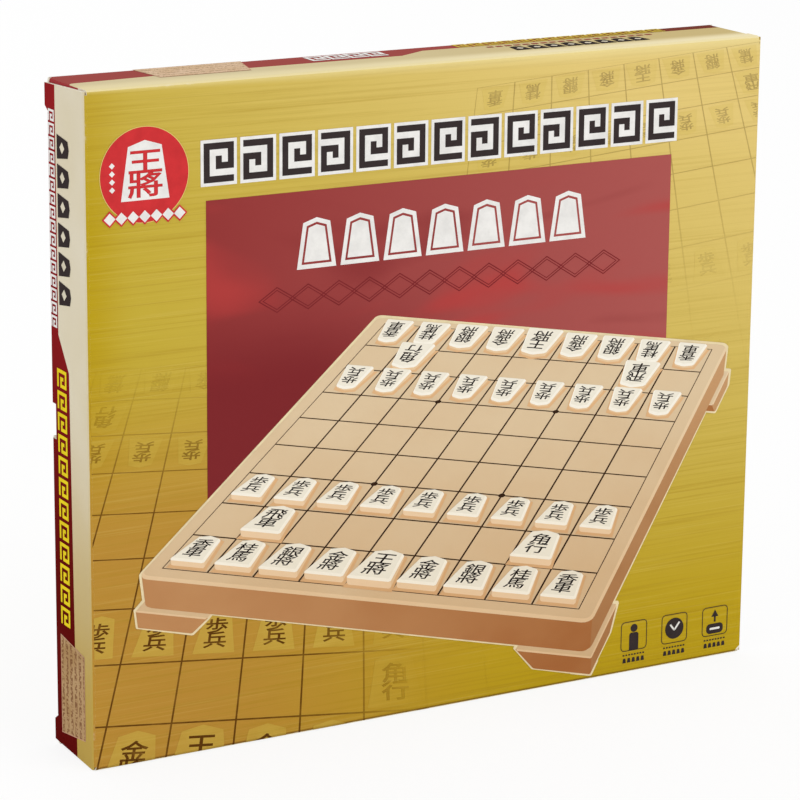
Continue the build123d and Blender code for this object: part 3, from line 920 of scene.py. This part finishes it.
class CartonShades(bpy.types.PropertyGroup):
    """Colours of the carton and its print"""

    gold: shade_property("Gold", "Ground of the front panel", (190, 166, 54))
    # Along the left edge this rich gold is painted shade beside the fold
    gold_rich: shade_property("Rich gold", "Ground along the left edge and low down", (182, 153, 22))
    # Pale gold is the print's gradient with a painted sheen
    gold_pale: shade_property("Pale gold", "Ground at the upper right", (222, 196, 120))
    gold_warm: shade_property("Warm gold", "Ground at the lower left", (181, 135, 57))
    gold_deep: shade_property("Deep gold", "Dark streaks of the grain", (160, 128, 30))
    gold_light: shade_property("Light gold", "Bright streaks of the grain", (226, 204, 120))
    # Partly a painted highlight on the rounded front fold
    top_cream: shade_property("Top cream", "Cream next to the front fold of the top", (236, 223, 182))
    top_cream_left: shade_property("Left top cream", "The same cream at the left end", (226, 212, 168))
    top_cream_deep: shade_property("Shaded top cream", "Cream by the red band of the top", (209, 195, 156))
    top_cream_right: shade_property("Right top cream", "The same cream at the right end", (199, 179, 126))
    top_red: shade_property("Top red", "Red band on the top", (156, 76, 72))
    top_red_deep: shade_property("Deep top red", "Right end of the red band on the top", (116, 58, 48))
    cream: shade_property("Cream", "Plain band on the ends", (219, 210, 188))
    cream_deep: shade_property("Shaded cream", "Clouding in the cream band", (214, 203, 175))
    cream_gold: shade_property("Gold cream", "Cream of the ends where it turns to gold", (184, 156, 80))
    red: shade_property("Red", "Panel behind the picture", (144, 56, 55))
    red_light: shade_property("Light red", "Sheen of the red panel", (168, 86, 82))
    red_bright: shade_property("Bright red", "Bright folds of the red panel", (181, 64, 62))
    red_shadow: shade_property("Shaded red", "Low parts of the red panel", (123, 42, 45))
    # Also used for the painted shadow along the front's bottom fold
    ghost_line_and_bottom_shadow: shade_property("Faint line", "Lines of the faint boards", (84, 48, 14))
    ghost_piece: shade_property("Faint piece", "Pieces of the faint boards", (200, 174, 76))
    red_deep: shade_property("Deep red", "Clouding in the red bands", (104, 22, 22))
    badge: shade_property("Badge red", "Round badge", (206, 55, 58))
    white: shade_property("White", "White figures", (236, 234, 230))
    dark: shade_property("Dark brown", "Dark figures", (58, 50, 50))
    yellow: shade_property("Yellow", "Small yellow figures", (232, 208, 40))
    top_yellow: shade_property("Top yellow", "Small yellow figures on the top", (212, 186, 76))
    tan: shade_property("Tan", "Speckled block on the top", (216, 188, 158))
    tan_deep: shade_property("Shaded tan", "Clouding of that block", (206, 176, 142))
    tan_end: shade_property("End tan", "Speckled block on the ends", (182, 150, 110))
    tan_end_deep: shade_property("Shaded end tan", "Clouding of that block", (168, 134, 92))
    tan_edge: shade_property("Tan edge", "Pale line round a speckled block", (200, 156, 128))
    tan_mark: shade_property("Tan mark", "Specks", (112, 70, 46))
    # Painted sheen, laid over the print's cream at the top fold
    fold: shade_property("Fold", "Sheen where the front panel turns into the top", (232, 215, 152))
    end_red: shade_property("End red", "Upper part of the red band on the ends", (150, 34, 38))
    # Painted shade of the red band's lower part
    end_red_low_shade: shade_property("Low end red", "Lower part of the red band on the ends", (92, 16, 14))
    raw_edge: shade_property("Cut edge", "Liners at a cut edge", (232, 226, 212))
    kraft: shade_property("Core", "Fluted core at a cut edge", (196, 172, 138))
    inside: shade_property("Inside", "Unprinted inner liner", (214, 206, 190))
    inside_fleck: shade_property("Inside fleck", "Fibres in the inner liner", (190, 178, 156))


class PrintLayout(bpy.types.PropertyGroup):
    """Sizes and places of the print on the front panel"""

    badge_radius: length_property("Badge radius", "Radius of the round badge", 23.2)
    badge_across: length_property("Badge place", "Badge centre from the left edge", 31.0)
    badge_up: length_property("Badge height", "Badge centre above the bottom edge", 297.4)
    red_left: length_property("Red left", "Left edge of the red panel", 63.5)
    red_right: length_property("Red right", "Right edge of the red panel", 332.8)
    red_low: length_property("Red low", "Lower edge of the red panel", 120.0)
    red_high: length_property("Red high", "Upper edge of the red panel", 281.7)
    emblem_height: length_property("Emblem height", "Height of the white emblems", 25.5)
    fret_cell: length_property("Fret cell", "Stroke of the key-fret strip", 3.25)
    picture_turn: angle_property("Picture turn", "How far the pictured board is turned", 23.0)
    picture_rise: angle_property("Picture rise", "How high the pictured board is seen from", 29.3)
    picture_size: bpy.props.FloatProperty(
        name="Picture size",
        description="Scale of the pictured board",
        default=0.765,
        subtype="FACTOR",
        min=0.1,
        max=1.0,
    )


class BoardShades(bpy.types.PropertyGroup):
    """Colours of the board and all that lies in the carton"""

    moulding: shade_property("Moulding", "Board body, base and feet", (206, 160, 112))
    moulding_deep: shade_property("Shaded moulding", "Flow marks in the moulding", (192, 144, 96))
    face: shade_property("Play face", "Light grain of the play panel", (226, 192, 140))
    face_deep: shade_property("Face grain", "Dark grain of the play panel", (204, 164, 106))
    line: shade_property("Lines", "Ruled lines and stars", (44, 32, 26))
    piece: shade_property("Piece", "Playing pieces", (240, 226, 194))
    piece_deep: shade_property("Piece grain", "Shade in the playing pieces", (224, 202, 160))
    mark: shade_property("Mark", "Marks of the playing pieces", (28, 24, 24))
    paper: shade_property("Paper", "Rules leaflet and cover card", (236, 232, 220))
    tray: shade_property("Tray", "Formed tray", (232, 232, 228))


class StudioSettings(bpy.types.PropertyGroup):
    """Light and floor of the stage"""

    key: power_property("Key lamp", "Large lamp, front right", 22.0)
    fill: power_property("Fill lamp", "Large lamp, left", 11.0)
    back: power_property("Back lamp", "Large lamp behind", 10.0)
    ambient: bpy.props.FloatProperty(
        name="Ambient", description="Light from all round", default=0.8, min=0.0, max=2.0
    )
    floor: length_property("Floor", "Width of the floor", 8000.0)


# Operators


class SHOGI_OT_carton(bpy.types.Operator):
    """Print the carton's sleeve, end panels and flaps"""

    bl_idname = "shogi.carton"
    bl_label = "Finish carton"

    def execute(self, context):
        shades = context.scene.carton_shades
        paint("carton_sleeve", sleeve_finish(shades))
        tuck, dust = flap_finish(shades, "tuck"), flap_finish(shades, "dust")
        for side in SIDES:
            paint(f"{side}_end_panel", end_finish(shades, side))
            paint(f"{side}_tuck_flap", tuck)
            paint(f"{side}_upper_dust_flap", dust)
            paint(f"{side}_lower_dust_flap", dust)
        return {"FINISHED"}


# For each faint board: its view (turn, rise, distance, size and middle), the shift of its grid, the spans
# up and across the panel over which its ink fades in, and how strong the ink is
FAINT_BOARDS = {
    "print_low_board": ((8.0, 49.0, 460.0, 0.93, (54, 78)), (17.3, 57.6), ((215, 110), (200, 110)), 0.95),
    "print_high_board": ((-7.0, 42.0, 640.0, 0.74, (338, 262)), (-20, 0), ((175, 300), (30, 130)), 0.42),
}


def reaches_panel(part):
    """Whether a figure reaches into the front panel; one that doesn't goes."""
    margin, head = 2, 3
    across = [vertex.co.x / MM for vertex in part.data.vertices]
    up = [vertex.co.y / MM for vertex in part.data.vertices]
    inside = max(across) > margin and min(across) < WIDTH - margin
    inside = inside and max(up) > margin and min(up) < HEIGHT - head
    if not inside:
        gone([part])
    return inside


class SHOGI_OT_faint_boards(bpy.types.Operator):
    """Lay the two faint boards that fade into the gold ground"""

    bl_idname = "shogi.faint_boards"
    bl_label = "Print faint boards"

    def execute(self, context):
        shades = context.scene.carton_shades
        for name, (view, shift, spans, strength) in FAINT_BOARDS.items():
            press = PressedPicture(*view)
            line, piece, mark = (
                faint_ink(f"{name}_{part}", shades, colour, spans, strength * share)
                for part, colour, share in (
                    ("line", shades.ghost_line_and_bottom_shadow, 0.95),
                    ("piece", shades.ghost_piece, 0.5),
                    ("mark", shades.ghost_line_and_bottom_shadow, 1.0),
                )
            )
            laid = [press.press(dyed(moved(ruled_grid(thick=0.95), at(*shift)), line), GHOST)]
            figures = {}
            for kind in KOMA:
                blank = shaped("faint_piece", koma_corners(*(size * FAINT for size in KOMA[kind][1:3])))
                figures[kind] = dyed(blank, piece), dyed(mark_on(kind, FAINT), mark)
            for kind, row, place in opening_array(FAINT, shift):
                blank, sign = figures[kind]
                laid.append(press.press(copy_of(blank, place), GHOST_PIECE))
                laid.append(press.lay(copy_of(sign, place), GHOST_MARK, heights_of(sign)))
            gone(figure for pair in figures.values() for figure in pair)
            board = joined(name, [part for part in laid if reaches_panel(part)])
            side, foot, head = 1.4, 0.8, 1.2
            keep(trimmed(board, (side, foot), (WIDTH - side, HEIGHT - head)))
        return {"FINISHED"}


class SHOGI_OT_red_panel(bpy.types.Operator):
    """Lay the red panel with its row of white figures and its lozenge line"""

    bl_idname = "shogi.red_panel"
    bl_label = "Print red panel"

    def execute(self, context):
        shades, layout = context.scene.carton_shades, context.scene.print_layout
        edges = layout.red_left, layout.red_right, layout.red_low, layout.red_high
        left, right, low, high = (edge / MM for edge in edges)
        panel = moved(bar("red_ground", right - left, high - low), at((left + right) / 2, (low + high) / 2))
        inked(panel, red_finish(shades), FIRST)
        height, rim, gap = layout.emblem_height / MM, 2.2, 1.2
        figure = emblem("white_emblem", height, height * STOUT, rim, gap)
        inked(figure, flat_ink("white_ink", shades.white), SECOND)
        count, first, last, foot = 7, 124.0, 270.0, 242.5
        step = (last - first) / (count - 1)
        figures = rows_of(figure, [at(first + step * index, foot) for index in range(count)])
        outer = ring_of(disc("outer", 8.0, 4), 0.5)
        lozenge = joined("lozenge", [outer, ring_of(disc("inner", 6.2, 4), 0.4)])
        inked(stretched(lozenge, 1.3, 0.82), flat_ink("shadow_red_ink", shades.red_shadow), SECOND)
        line = rows_of(lozenge, overlapping_row(first=102.0, step=17.3, count=12, up=228.5))
        keep(joined("print_red_panel", [panel] + figures + line))
        return {"FINISHED"}


class SHOGI_OT_strip(bpy.types.Operator):
    """Lay the dark key-fret strip with its white outline"""

    bl_idname = "shogi.strip"
    bl_label = "Print key-fret strip"

    def execute(self, context):
        shades, cell = context.scene.carton_shades, context.scene.print_layout.fret_cell / MM
        outline = lattice("fret_outline", FRET, cell, grow=2)
        inked(outline, flat_ink("outline_ink", shades.white), FIRST)
        stroke = inked(lattice("fret_stroke", FRET, cell), flat_ink("dark_ink", shades.dark), SECOND)
        first, step, count, up = 70.5, 21.3, 13, 300.0
        places = [at(first + step * index, up, turn=180.0 * (index % 2)) for index in range(count)]
        keep(joined("print_fret_strip", rows_of(outline, places) + rows_of(stroke, places)))
        return {"FINISHED"}


class SHOGI_OT_badge(bpy.types.Operator):
    """Lay the round badge with a playing piece in it"""

    bl_idname = "shogi.badge"
    bl_label = "Print badge"

    def execute(self, context):
        shades, layout = context.scene.carton_shades, context.scene.print_layout
        radius, x, y = layout.badge_radius / MM, layout.badge_across / MM, layout.badge_up / MM
        red, white = flat_ink("badge_ink", shades.badge), flat_ink("badge_white", shades.white)
        rim = moved(disc("badge_rim", radius + 0.35, corners=96), at(x, y))
        ground = moved(disc("badge_ground", radius, corners=96), at(x, y))
        piece = moved(shaped("badge_piece", koma_corners(length=29.0, width=25.5)), at(x + 0.3, y - 12.2))
        mark = written(KOMA["king"][0], height=23.0, weight=0.02, wide=1.45)
        mark = moved(mark, at(x + 0.3, y + 0.4, FOURTH))
        figures = [
            inked(rim, flat_ink("rim_ink", shades.gold_light), FIRST),
            inked(ground, red, SECOND),
            inked(piece, white, THIRD),
            dyed(mark, red),
        ]
        dot = inked(disc("badge_dot", 1.5, 4), white, THIRD)
        figures += rows_of(dot, [at(x - 17.0, y + 5.5 - 3.9 * index) for index in range(4)])
        places = overlapping_row(first=x - 18.5, step=6.15, count=7, up=y - 20.2)
        figures += rows_of(inked(disc("lozenge_rim", 4.1, 4), red, THIRD), places)
        figures += rows_of(inked(disc("lozenge_core", 3.0, 4), white, FOURTH), places)
        keep(joined("print_badge", figures))
        return {"FINISHED"}


# Shades of the pictured wood, light and deep, and where it deepens across the panel instead of downwards
PICTURED_WOOD = {
    "top": ((218, 195, 160), (206, 173, 132)),
    "front": ((188, 138, 92), (162, 102, 58), (-150.0, 110.0)),
    "end": ((198, 154, 110), (162, 112, 70)),
    "edge": ((228, 204, 168), (220, 186, 144)),
    "piece_top": ((236, 230, 214), (230, 221, 201)),
    "piece_foot": ((236, 208, 172), (226, 192, 152)),
    "piece_side": ((228, 197, 157), (218, 182, 140)),
    "piece_edge": ((244, 239, 226), (240, 230, 210)),
    "shade": ((222, 180, 134), (206, 160, 112)),
}
# Pictured board: half its width and length, its thickness, how far its feet reach past it, and how much
# wider than the board its pale outline is
HALF_WIDTH, HALF_LENGTH, SLAB, REACH, HALO = 168, 183, 24.5, 3.0, 2.6


def pictured_foot(turn, corner, mirror):
    """One arm of a bracket foot: a block with a slanted inner end, under the slab's edge."""
    high, thick, under = 13.5, 14, -38.0
    short, full = 42, 56
    block = raised(shaped("foot", [(0, 0), (short, 0), (full, high), (0, high)]), thick)
    upright = Matrix.Rotation(math.radians(90.0), 4, "X") @ Matrix.Translation((0, 0, -thick * MM))
    stretched(moved(block, upright), mirror, 1.0)
    moved(block, at(*corner, under, turn=turn))
    return modified(outward(block), "BEVEL", width=0.8 * MM, segments=1)


def pictured_board(press, inks, halo):
    """Board of the picture: a thick slab on bracket feet, with a pale outline round it."""
    slab = bar("slab", 2 * HALF_WIDTH, 2 * HALF_LENGTH, round_by=7)
    raised(moved(slab, at(0, 0, -SLAB)), SLAB)
    modified(outward(slab), "BEVEL", width=1.7 * MM, segments=1, limit_method="ANGLE")
    right, near, far = HALF_WIDTH + REACH, -HALF_LENGTH - REACH, HALF_LENGTH + REACH
    solids = [
        (pictured_foot(0, (-right, near), 1), FOURTH),
        (pictured_foot(0, (right, near), -1), FOURTH),
        (pictured_foot(90, (right, near), 1), THIRD),
        (pictured_foot(90, (right, far), -1), THIRD),
        (slab, FIFTH),
    ]
    parts = []
    for step, (solid, layer) in enumerate(solids):
        side_inks(solid, inks)
        outline = dyed(copy_of(solid, Matrix.Identity(4)), halo)
        press.press(solid, layer)
        press.press(outline, SECOND + step * PAINTED / 2)
        middle = sum((vertex.co for vertex in outline.data.vertices), Vector()) / len(outline.data.vertices)
        width, height = outline.dimensions.x / MM, outline.dimensions.y / MM
        grown = Matrix.Diagonal((1 + HALO / width, 1 + HALO / height, 1.0, 1.0))
        moved(outline, Matrix.Translation(middle) @ grown @ Matrix.Translation(-middle))
        parts += [solid, outline]
    return parts


def pictured_piece(kind, inks, mark_ink, shade_ink):
    """A playing piece of the picture: the soft shade round it, its body and its mark, lying on the board."""
    length, width, thick = KOMA[kind][1:]
    length, width, thick = length * PICTURED, width * PICTURED, thick * PICTURED_THICK
    body = side_inks(koma_solid("body", length, width, thick, edge=1.4), inks)
    mark = mark_on(kind, PICTURED)
    heights = heights_of(mark)
    for vertex in mark.data.vertices:
        vertex.co.z = thick * MM - vertex.co.y * FALL
    margin = 3.6
    shade = moved(shaped("shade", koma_corners(length + margin, width + margin)), at(0, -1.6))
    return dyed(shade, shade_ink), body, dyed(mark, mark_ink), heights


class SHOGI_OT_picture(bpy.types.Operator):
    """Lay the picture of a board set up for play on the front panel"""

    bl_idname = "shogi.picture"
    bl_label = "Print board picture"

    def execute(self, context):
        layout = context.scene.print_layout
        turn, rise = math.degrees(layout.picture_turn), math.degrees(layout.picture_rise)
        press = PressedPicture(turn, rise, distance=1150.0, size=layout.picture_size, middle=(212.4, 139.5))
        woods = [picture_wood(f"picture_{part}", *wood) for part, wood in PICTURED_WOOD.items()]
        board_inks, piece_inks, shade_ink = woods[:4], woods[4:8], woods[8]
        line_ink = flat_ink("picture_line_ink", ink(56, 38, 26))
        mark_ink = flat_ink("picture_mark_ink", ink(34, 28, 28))
        pieces = pictured_board(press, board_inks, flat_ink("halo_ink", ink(234, 216, 174)))
        pieces.append(press.press(dyed(ruled_grid(thick=1.3), line_ink), SIXTH))
        cells_out = (-1.5, 1.5)
        places = [at(CELL_ACROSS * x, CELL_ALONG * y) for x in cells_out for y in cells_out]
        for star in rows_of(disc("star", 2.6, corners=12), places):
            pieces.append(press.press(dyed(star, line_ink), SIXTH + PAINTED))
        figures = {kind: pictured_piece(kind, piece_inks, mark_ink, shade_ink) for kind in KOMA}
        for kind, row, place in opening_array(PICTURED):
            shade, body, mark, heights = figures[kind]
            layer = SIXTH + (row + 2) * PAINTED
            pieces.append(press.press(copy_of(shade, place), layer))
            pieces.append(press.press(copy_of(body, place), layer + PAINTED))
            pieces.append(press.lay(copy_of(mark, place), layer + 2 * PAINTED, heights))
        gone(figure for group in figures.values() for figure in group[:3])
        keep(joined("print_board_picture", pieces))
        return {"FINISHED"}


class SHOGI_OT_pictograms(bpy.types.Operator):
    """Lay the three small pictograms at the lower right"""

    bl_idname = "shogi.pictograms"
    bl_label = "Print pictograms"

    def execute(self, context):
        shades = context.scene.carton_shades
        dark, light = flat_ink("pictogram_dark", shades.dark), flat_ink("pictogram_light", shades.white)
        size, foot = 16.6, 20.4
        centres = (317.5, 343.6, 370.0)
        border = inked(ring_of(bar("pictogram_frame", size, size, 2.4), 0.4), dark, FIRST)
        figures = rows_of(border, [at(x, foot) for x in centres])
        head = moved(disc("head", 2.2, 32), at(0, 4.3))
        body = shaped("person", [(2.9, 0.9), (2.0, 1.8), (-2.0, 1.8), (-2.9, 0.9), (-2.9, -8.0), (2.9, -8.0)])
        hands = [
            moved(bar("hand", 1.0, 5.4), at(1.5, 1.1, turn=-38)),
            moved(bar("hand", 1.0, 4.2), at(-1.4, 0.7, turn=38)),
        ]
        tip = shaped("arrow_tip", [(0.0, 6.4), (-2.3, 2.6), (2.3, 2.6)])
        stem = moved(bar("arrow_stem", 1.1, 3.4), at(0, 1.3))
        for figure, centre, drop, colour, layer in (
            (joined("player", [head, body]), 0, 0, dark, FIRST),
            (disc("clock", 5.9, 48), 1, 0, dark, FIRST),
            (joined("hands", hands), 1, 0, light, SECOND),
            (joined("arrow", [tip, stem]), 2, 0, dark, FIRST),
            (bar("base", 10.8, 5.6, 2.2), 2, 4.2, dark, FIRST),
            (bar("slot", 6.6, 1.2, 0.5), 2, 4.2, light, SECOND),
        ):
            figures.append(inked(moved(figure, at(centres[centre], foot - drop)), colour, layer))
        dash = inked(bar("dash", 1.1, 0.8), dark, FIRST)
        small = inked(shaped("small_piece", koma_corners(2.6, 2.2)), dark, FIRST)
        for figure, step, count, up in ((dash, 1.8, 8, 9.9), (small, 2.9, 5, 5.6)):
            figures += rows_of(figure, [place for x in centres for place in centred_row(x, step, count, up)])
        keep(joined("print_pictograms", figures))
        return {"FINISHED"}


# Figures of each band design, in millimetres: along the band, then across it from the front fold (top)
# or from the back edge (ends)
BANDS = {
    "top": {
        "dark": ((247, 328), (15, 26)),
        "yellow": ((225, 351), (35.2, 44.4)),
        "white": ((138, 181), (30, 42)),
        "dashes": ((238, 338), (28.5, 31)),
        "block": [(98.0, 19.0), (105, 45.2), (46, 45.2), (49.0, 19.0)],
    },
    "end": {
        "dark": ((25.5, 109.7), (14.0, 28.0)),
        "yellow": ((142, 273), (10.0, 21.0)),
        "white": ((14.5, 122), (4.2, 11.0)),
        "block": [(331, 9.0), (327, 37.5), (283, 37.5), (279, 9.0)],
    },
}


def band_figures(shades, panel, body):
    """Small figures of a band: dark pieces, key frets in two colours, red dashes and a speckled block."""
    name, band = f"print_{panel}_band", BANDS["top" if panel == "top" else "end"]

    def band_ink(part, colour):
        return flat_ink(f"{name}_{part}", colour)

    span, (low, high) = band["dark"]
    height = high - low
    places = [at(across, low) for across in evenly(span, height * STOUT, height * 0.12)]
    solid = shaped("band_piece", koma_corners(height, height * STOUT))
    inked(solid, band_ink("dark", shades.dark), FIRST)
    centre = moved(disc("band_lozenge", height * 0.2, 4), at(0, height * 0.44))
    centre = inked(centre, band_ink("pale", shades.cream), SECOND)
    parts = rows_of(solid, places) + rows_of(centre, places)
    if panel == "top":
        yellow, tans, strength = shades.top_yellow, (shades.tan, shades.tan_deep), 0.42
    else:
        yellow, tans, strength = shades.yellow, (shades.tan_end, shades.tan_end_deep), 0.75
    for part, colour in (("yellow", yellow), ("white", shades.white)):
        span, (low, high) = band[part]
        cell = (high - low) / len(FRET)
        unit = inked(lattice("band_fret", FRET, cell), band_ink(part, colour), FIRST)
        along = evenly(span, cell * len(FRET[0]), cell)
        parts += rows_of(unit, [at(across, (low + high) / 2) for across in along])
    if "dashes" in band:
        span, (low, high) = band["dashes"]
        width, gap = 3.6, 1.8
        dash = inked(bar("band_dash", width, high - low), band_ink("red", shades.top_red), FIRST)
        parts += rows_of(dash, [at(across, (low + high) / 2) for across in evenly(span, width, gap)])
    speckled = speckled_finish(f"{name}_block", *tans, shades.tan_mark, strength)
    parts.append(inked(shaped("block_edge", band["block"]), band_ink("edge", shades.tan_edge), FIRST))
    parts.append(inked(middle_of(shaped("block", band["block"]), 0.5), speckled, SECOND))
    keep(joined(name, parts), panel, body)


class SHOGI_OT_bands(bpy.types.Operator):
    """Lay the small figures on the top panel and on both end panels"""

    bl_idname = "shogi.bands"
    bl_label = "Print top and ends"

    def execute(self, context):
        shades = context.scene.carton_shades
        band_figures(shades, "top", "carton")
        for side in SIDES:
            band_figures(shades, side, f"{side}_end_panel")
        return {"FINISHED"}


class SHOGI_OT_board(bpy.types.Operator):
    """Finish the moulded board, its play panel, base plate and feet"""

    bl_idname = "shogi.board"
    bl_label = "Finish board"

    def execute(self, context):
        shades = context.scene.board_shades
        moulding = moulding_finish(shades)
        feet = [f"{level}_{side}_foot" for level in ("lower", "upper") for side in SIDES]
        for node in ["board_shell", "base_plate"] + feet:
            paint(node, moulding)
        paint("play_panel", play_finish(shades))
        return {"FINISHED"}


def koma_nodes():
    """Nodes of the playing pieces of both players."""
    return sorted(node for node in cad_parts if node.startswith(("sente_", "gote_")))


class SHOGI_OT_contents(bpy.types.Operator):
    """Finish the tray, its cover card, the leaflet and the playing pieces"""

    bl_idname = "shogi.contents"
    bl_label = "Finish contents"

    def execute(self, context):
        shades = context.scene.board_shades
        paint("piece_tray", tray_finish(shades))
        paint("cover_card", card_finish(shades))
        paint("rules_leaflet", leaflet_finish(shades))
        wood = koma_finish(shades)
        for node in koma_nodes():
            paint(node, wood)
        return {"FINISHED"}


class SHOGI_OT_marks(bpy.types.Operator):
    """Lay the standard mark on the face of every playing piece"""

    bl_idname = "shogi.marks"
    bl_label = "Mark playing pieces"

    def execute(self, context):
        shade, lift = context.scene.board_shades.mark, 0.01
        mark_ink = flat_ink("piece_mark_ink", shade, roughness=0.3, specular=0.4)
        sources = {kind: dyed(mark_on(kind, share=0.68), mark_ink) for kind in KOMA}
        for kind, source in sources.items():
            for vertex in source.data.vertices:
                vertex.co.z += (KOMA[kind][3] + lift) * MM - vertex.co.y * FALL
        turn = Matrix.Rotation(math.radians(90.0), 4, "X") @ Matrix.Rotation(math.pi, 4, "Y")
        for node in koma_nodes():
            low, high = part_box(node)
            place = Matrix.Translation(((low.x + high.x) / 2, low.y, low.z)) @ turn
            mark = copy_of(sources[node.split("_")[1]], place)
            mark.name = f"{node}_mark"
            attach(mark, "carton")
        gone(sources.values())
        return {"FINISHED"}


def background_rays(tree):
    """1 for a ray that shows the background, seen plainly, in a gloss or through a clear part."""
    path = tree.nodes.new("ShaderNodeLightPath")
    seen = path.outputs["Is Camera Ray"]
    for kind in ("Is Glossy Ray", "Is Transmission Ray"):
        most = tree.nodes.new("ShaderNodeMath")
        most.operation = "MAXIMUM"
        tree.links.new(seen, most.inputs[0])
        tree.links.new(path.outputs[kind], most.inputs[1])
        seen = most.outputs[0]
    return seen


def floor_finish():
    """Pale matt floor that glows towards the camera and keeps some of its shadow."""
    material = bpy.data.materials.new("studio_floor")
    material.use_nodes = True
    nodes, links = material.node_tree.nodes, material.node_tree.links
    share = nodes.new("ShaderNodeMath")
    share.operation = "MULTIPLY"
    share.inputs[1].default_value = 0.85
    glow = nodes.new("ShaderNodeEmission")
    mixed = nodes.new("ShaderNodeMixShader")
    base = nodes["Principled BSDF"]
    base.inputs["Base Color"].default_value = (0.95, 0.95, 0.95, 1.0)
    base.inputs["Roughness"].default_value = 0.9
    links.new(background_rays(material.node_tree), share.inputs[0])
    links.new(share.outputs[0], mixed.inputs[0])
    links.new(base.outputs[0], mixed.inputs[1])
    links.new(glow.outputs[0], mixed.inputs[2])
    links.new(mixed.outputs[0], nodes["Material Output"].inputs[0])
    return material


def soft_world(ambient):
    """White world that lights the object at its own level and shows as plain white."""
    world = bpy.data.worlds.new("studio_world")
    world.use_nodes = True
    nodes, links = world.node_tree.nodes, world.node_tree.links
    background = nodes["Background"]
    background.inputs[0].default_value = (1.0, 1.0, 1.0, 1.0)
    level = nodes.new("ShaderNodeMapRange")
    level.inputs["To Min"].default_value = ambient
    level.inputs["To Max"].default_value = 1.0
    links.new(background_rays(world.node_tree), level.inputs[0])
    links.new(level.outputs[0], background.inputs[1])
    return world


class SHOGI_OT_stage(bpy.types.Operator):
    """Set up the pale floor, the soft lamps and the camera"""

    bl_idname = "shogi.stage"
    bl_label = "Set up stage"

    def execute(self, context):
        scene, studio = context.scene, context.scene.studio_settings
        scene.view_settings.view_transform = "Standard"
        scene.world = soft_world(studio.ambient)
        bpy.ops.object.select_all(action="DESELECT")
        bpy.ops.mesh.primitive_circle_add(vertices=64, radius=studio.floor / 2, fill_type="NGON")
        floor = moved(start("studio_floor"), at(0, 0, -0.2))
        dyed(floor, floor_finish())
        for name, power, place, size in (
            ("key_lamp", studio.key, (0.9, -2.2, 2.3), 2.2),
            ("fill_lamp", studio.fill, (-2.4, -1.0, 1.6), 2.0),
            ("back_lamp", studio.back, (0.3, 2.6, 1.8), 2.2),
        ):
            bpy.ops.object.light_add(type="AREA", location=place)
            lamp = bpy.context.active_object
            lamp.name = name
            lamp.data.energy = power
            lamp.data.size = size
            aim = Vector((0, 0, HEIGHT / 2 * MM)) - lamp.location
            lamp.rotation_euler = aim.to_track_quat("-Z", "Y").to_euler()
        bpy.ops.object.camera_add(location=CAMERA_PLACE)
        camera = bpy.context.active_object
        camera.name = "photo_camera"
        camera.rotation_euler = [math.radians(angle) for angle in CAMERA_TURN]
        camera.data.sensor_width = SENSOR
        camera.data.lens = FOCAL_LENGTH / PICTURE_WIDTH * SENSOR
        camera.data.shift_y = CAMERA_SHIFT
        camera.data.clip_end = 50.0
        scene.camera = camera
        return {"FINISHED"}


STEPS = (
    SHOGI_OT_carton,
    SHOGI_OT_faint_boards,
    SHOGI_OT_red_panel,
    SHOGI_OT_strip,
    SHOGI_OT_badge,
    SHOGI_OT_picture,
    SHOGI_OT_pictograms,
    SHOGI_OT_bands,
    SHOGI_OT_board,
    SHOGI_OT_contents,
    SHOGI_OT_marks,
    SHOGI_OT_stage,
)
SETTINGS = {
    "carton_shades": CartonShades,
    "print_layout": PrintLayout,
    "board_shades": BoardShades,
    "studio_settings": StudioSettings,
}


class SHOGI_PT_sidebar(bpy.types.Panel):
    """Steps and settings of the shogi set"""

    bl_idname = "SHOGI_PT_sidebar"
    bl_label = "Shogi Set"
    bl_space_type = "VIEW_3D"
    bl_region_type = "UI"
    bl_category = "Shogi Set"

    def draw(self, context):
        for step in STEPS:
            self.layout.operator(step.bl_idname)
        for name, group in SETTINGS.items():
            box = self.layout.box()
            for key in group.__annotations__:
                box.prop(getattr(context.scene, name), key)


def register():
    for name, group in SETTINGS.items():
        bpy.utils.register_class(group)
        setattr(bpy.types.Scene, name, bpy.props.PointerProperty(type=group))
    for step in STEPS:
        bpy.utils.register_class(step)
    bpy.utils.register_class(SHOGI_PT_sidebar)


def unregister():
    bpy.utils.unregister_class(SHOGI_PT_sidebar)
    for step in reversed(STEPS):
        bpy.utils.unregister_class(step)
    for name, group in reversed(SETTINGS.items()):
        delattr(bpy.types.Scene, name)
        bpy.utils.unregister_class(group)


def main():
    register()
    for step in STEPS:
        getattr(bpy.ops.shogi, step.bl_idname.split(".")[1])()


if __name__ == "__main__":
    main()
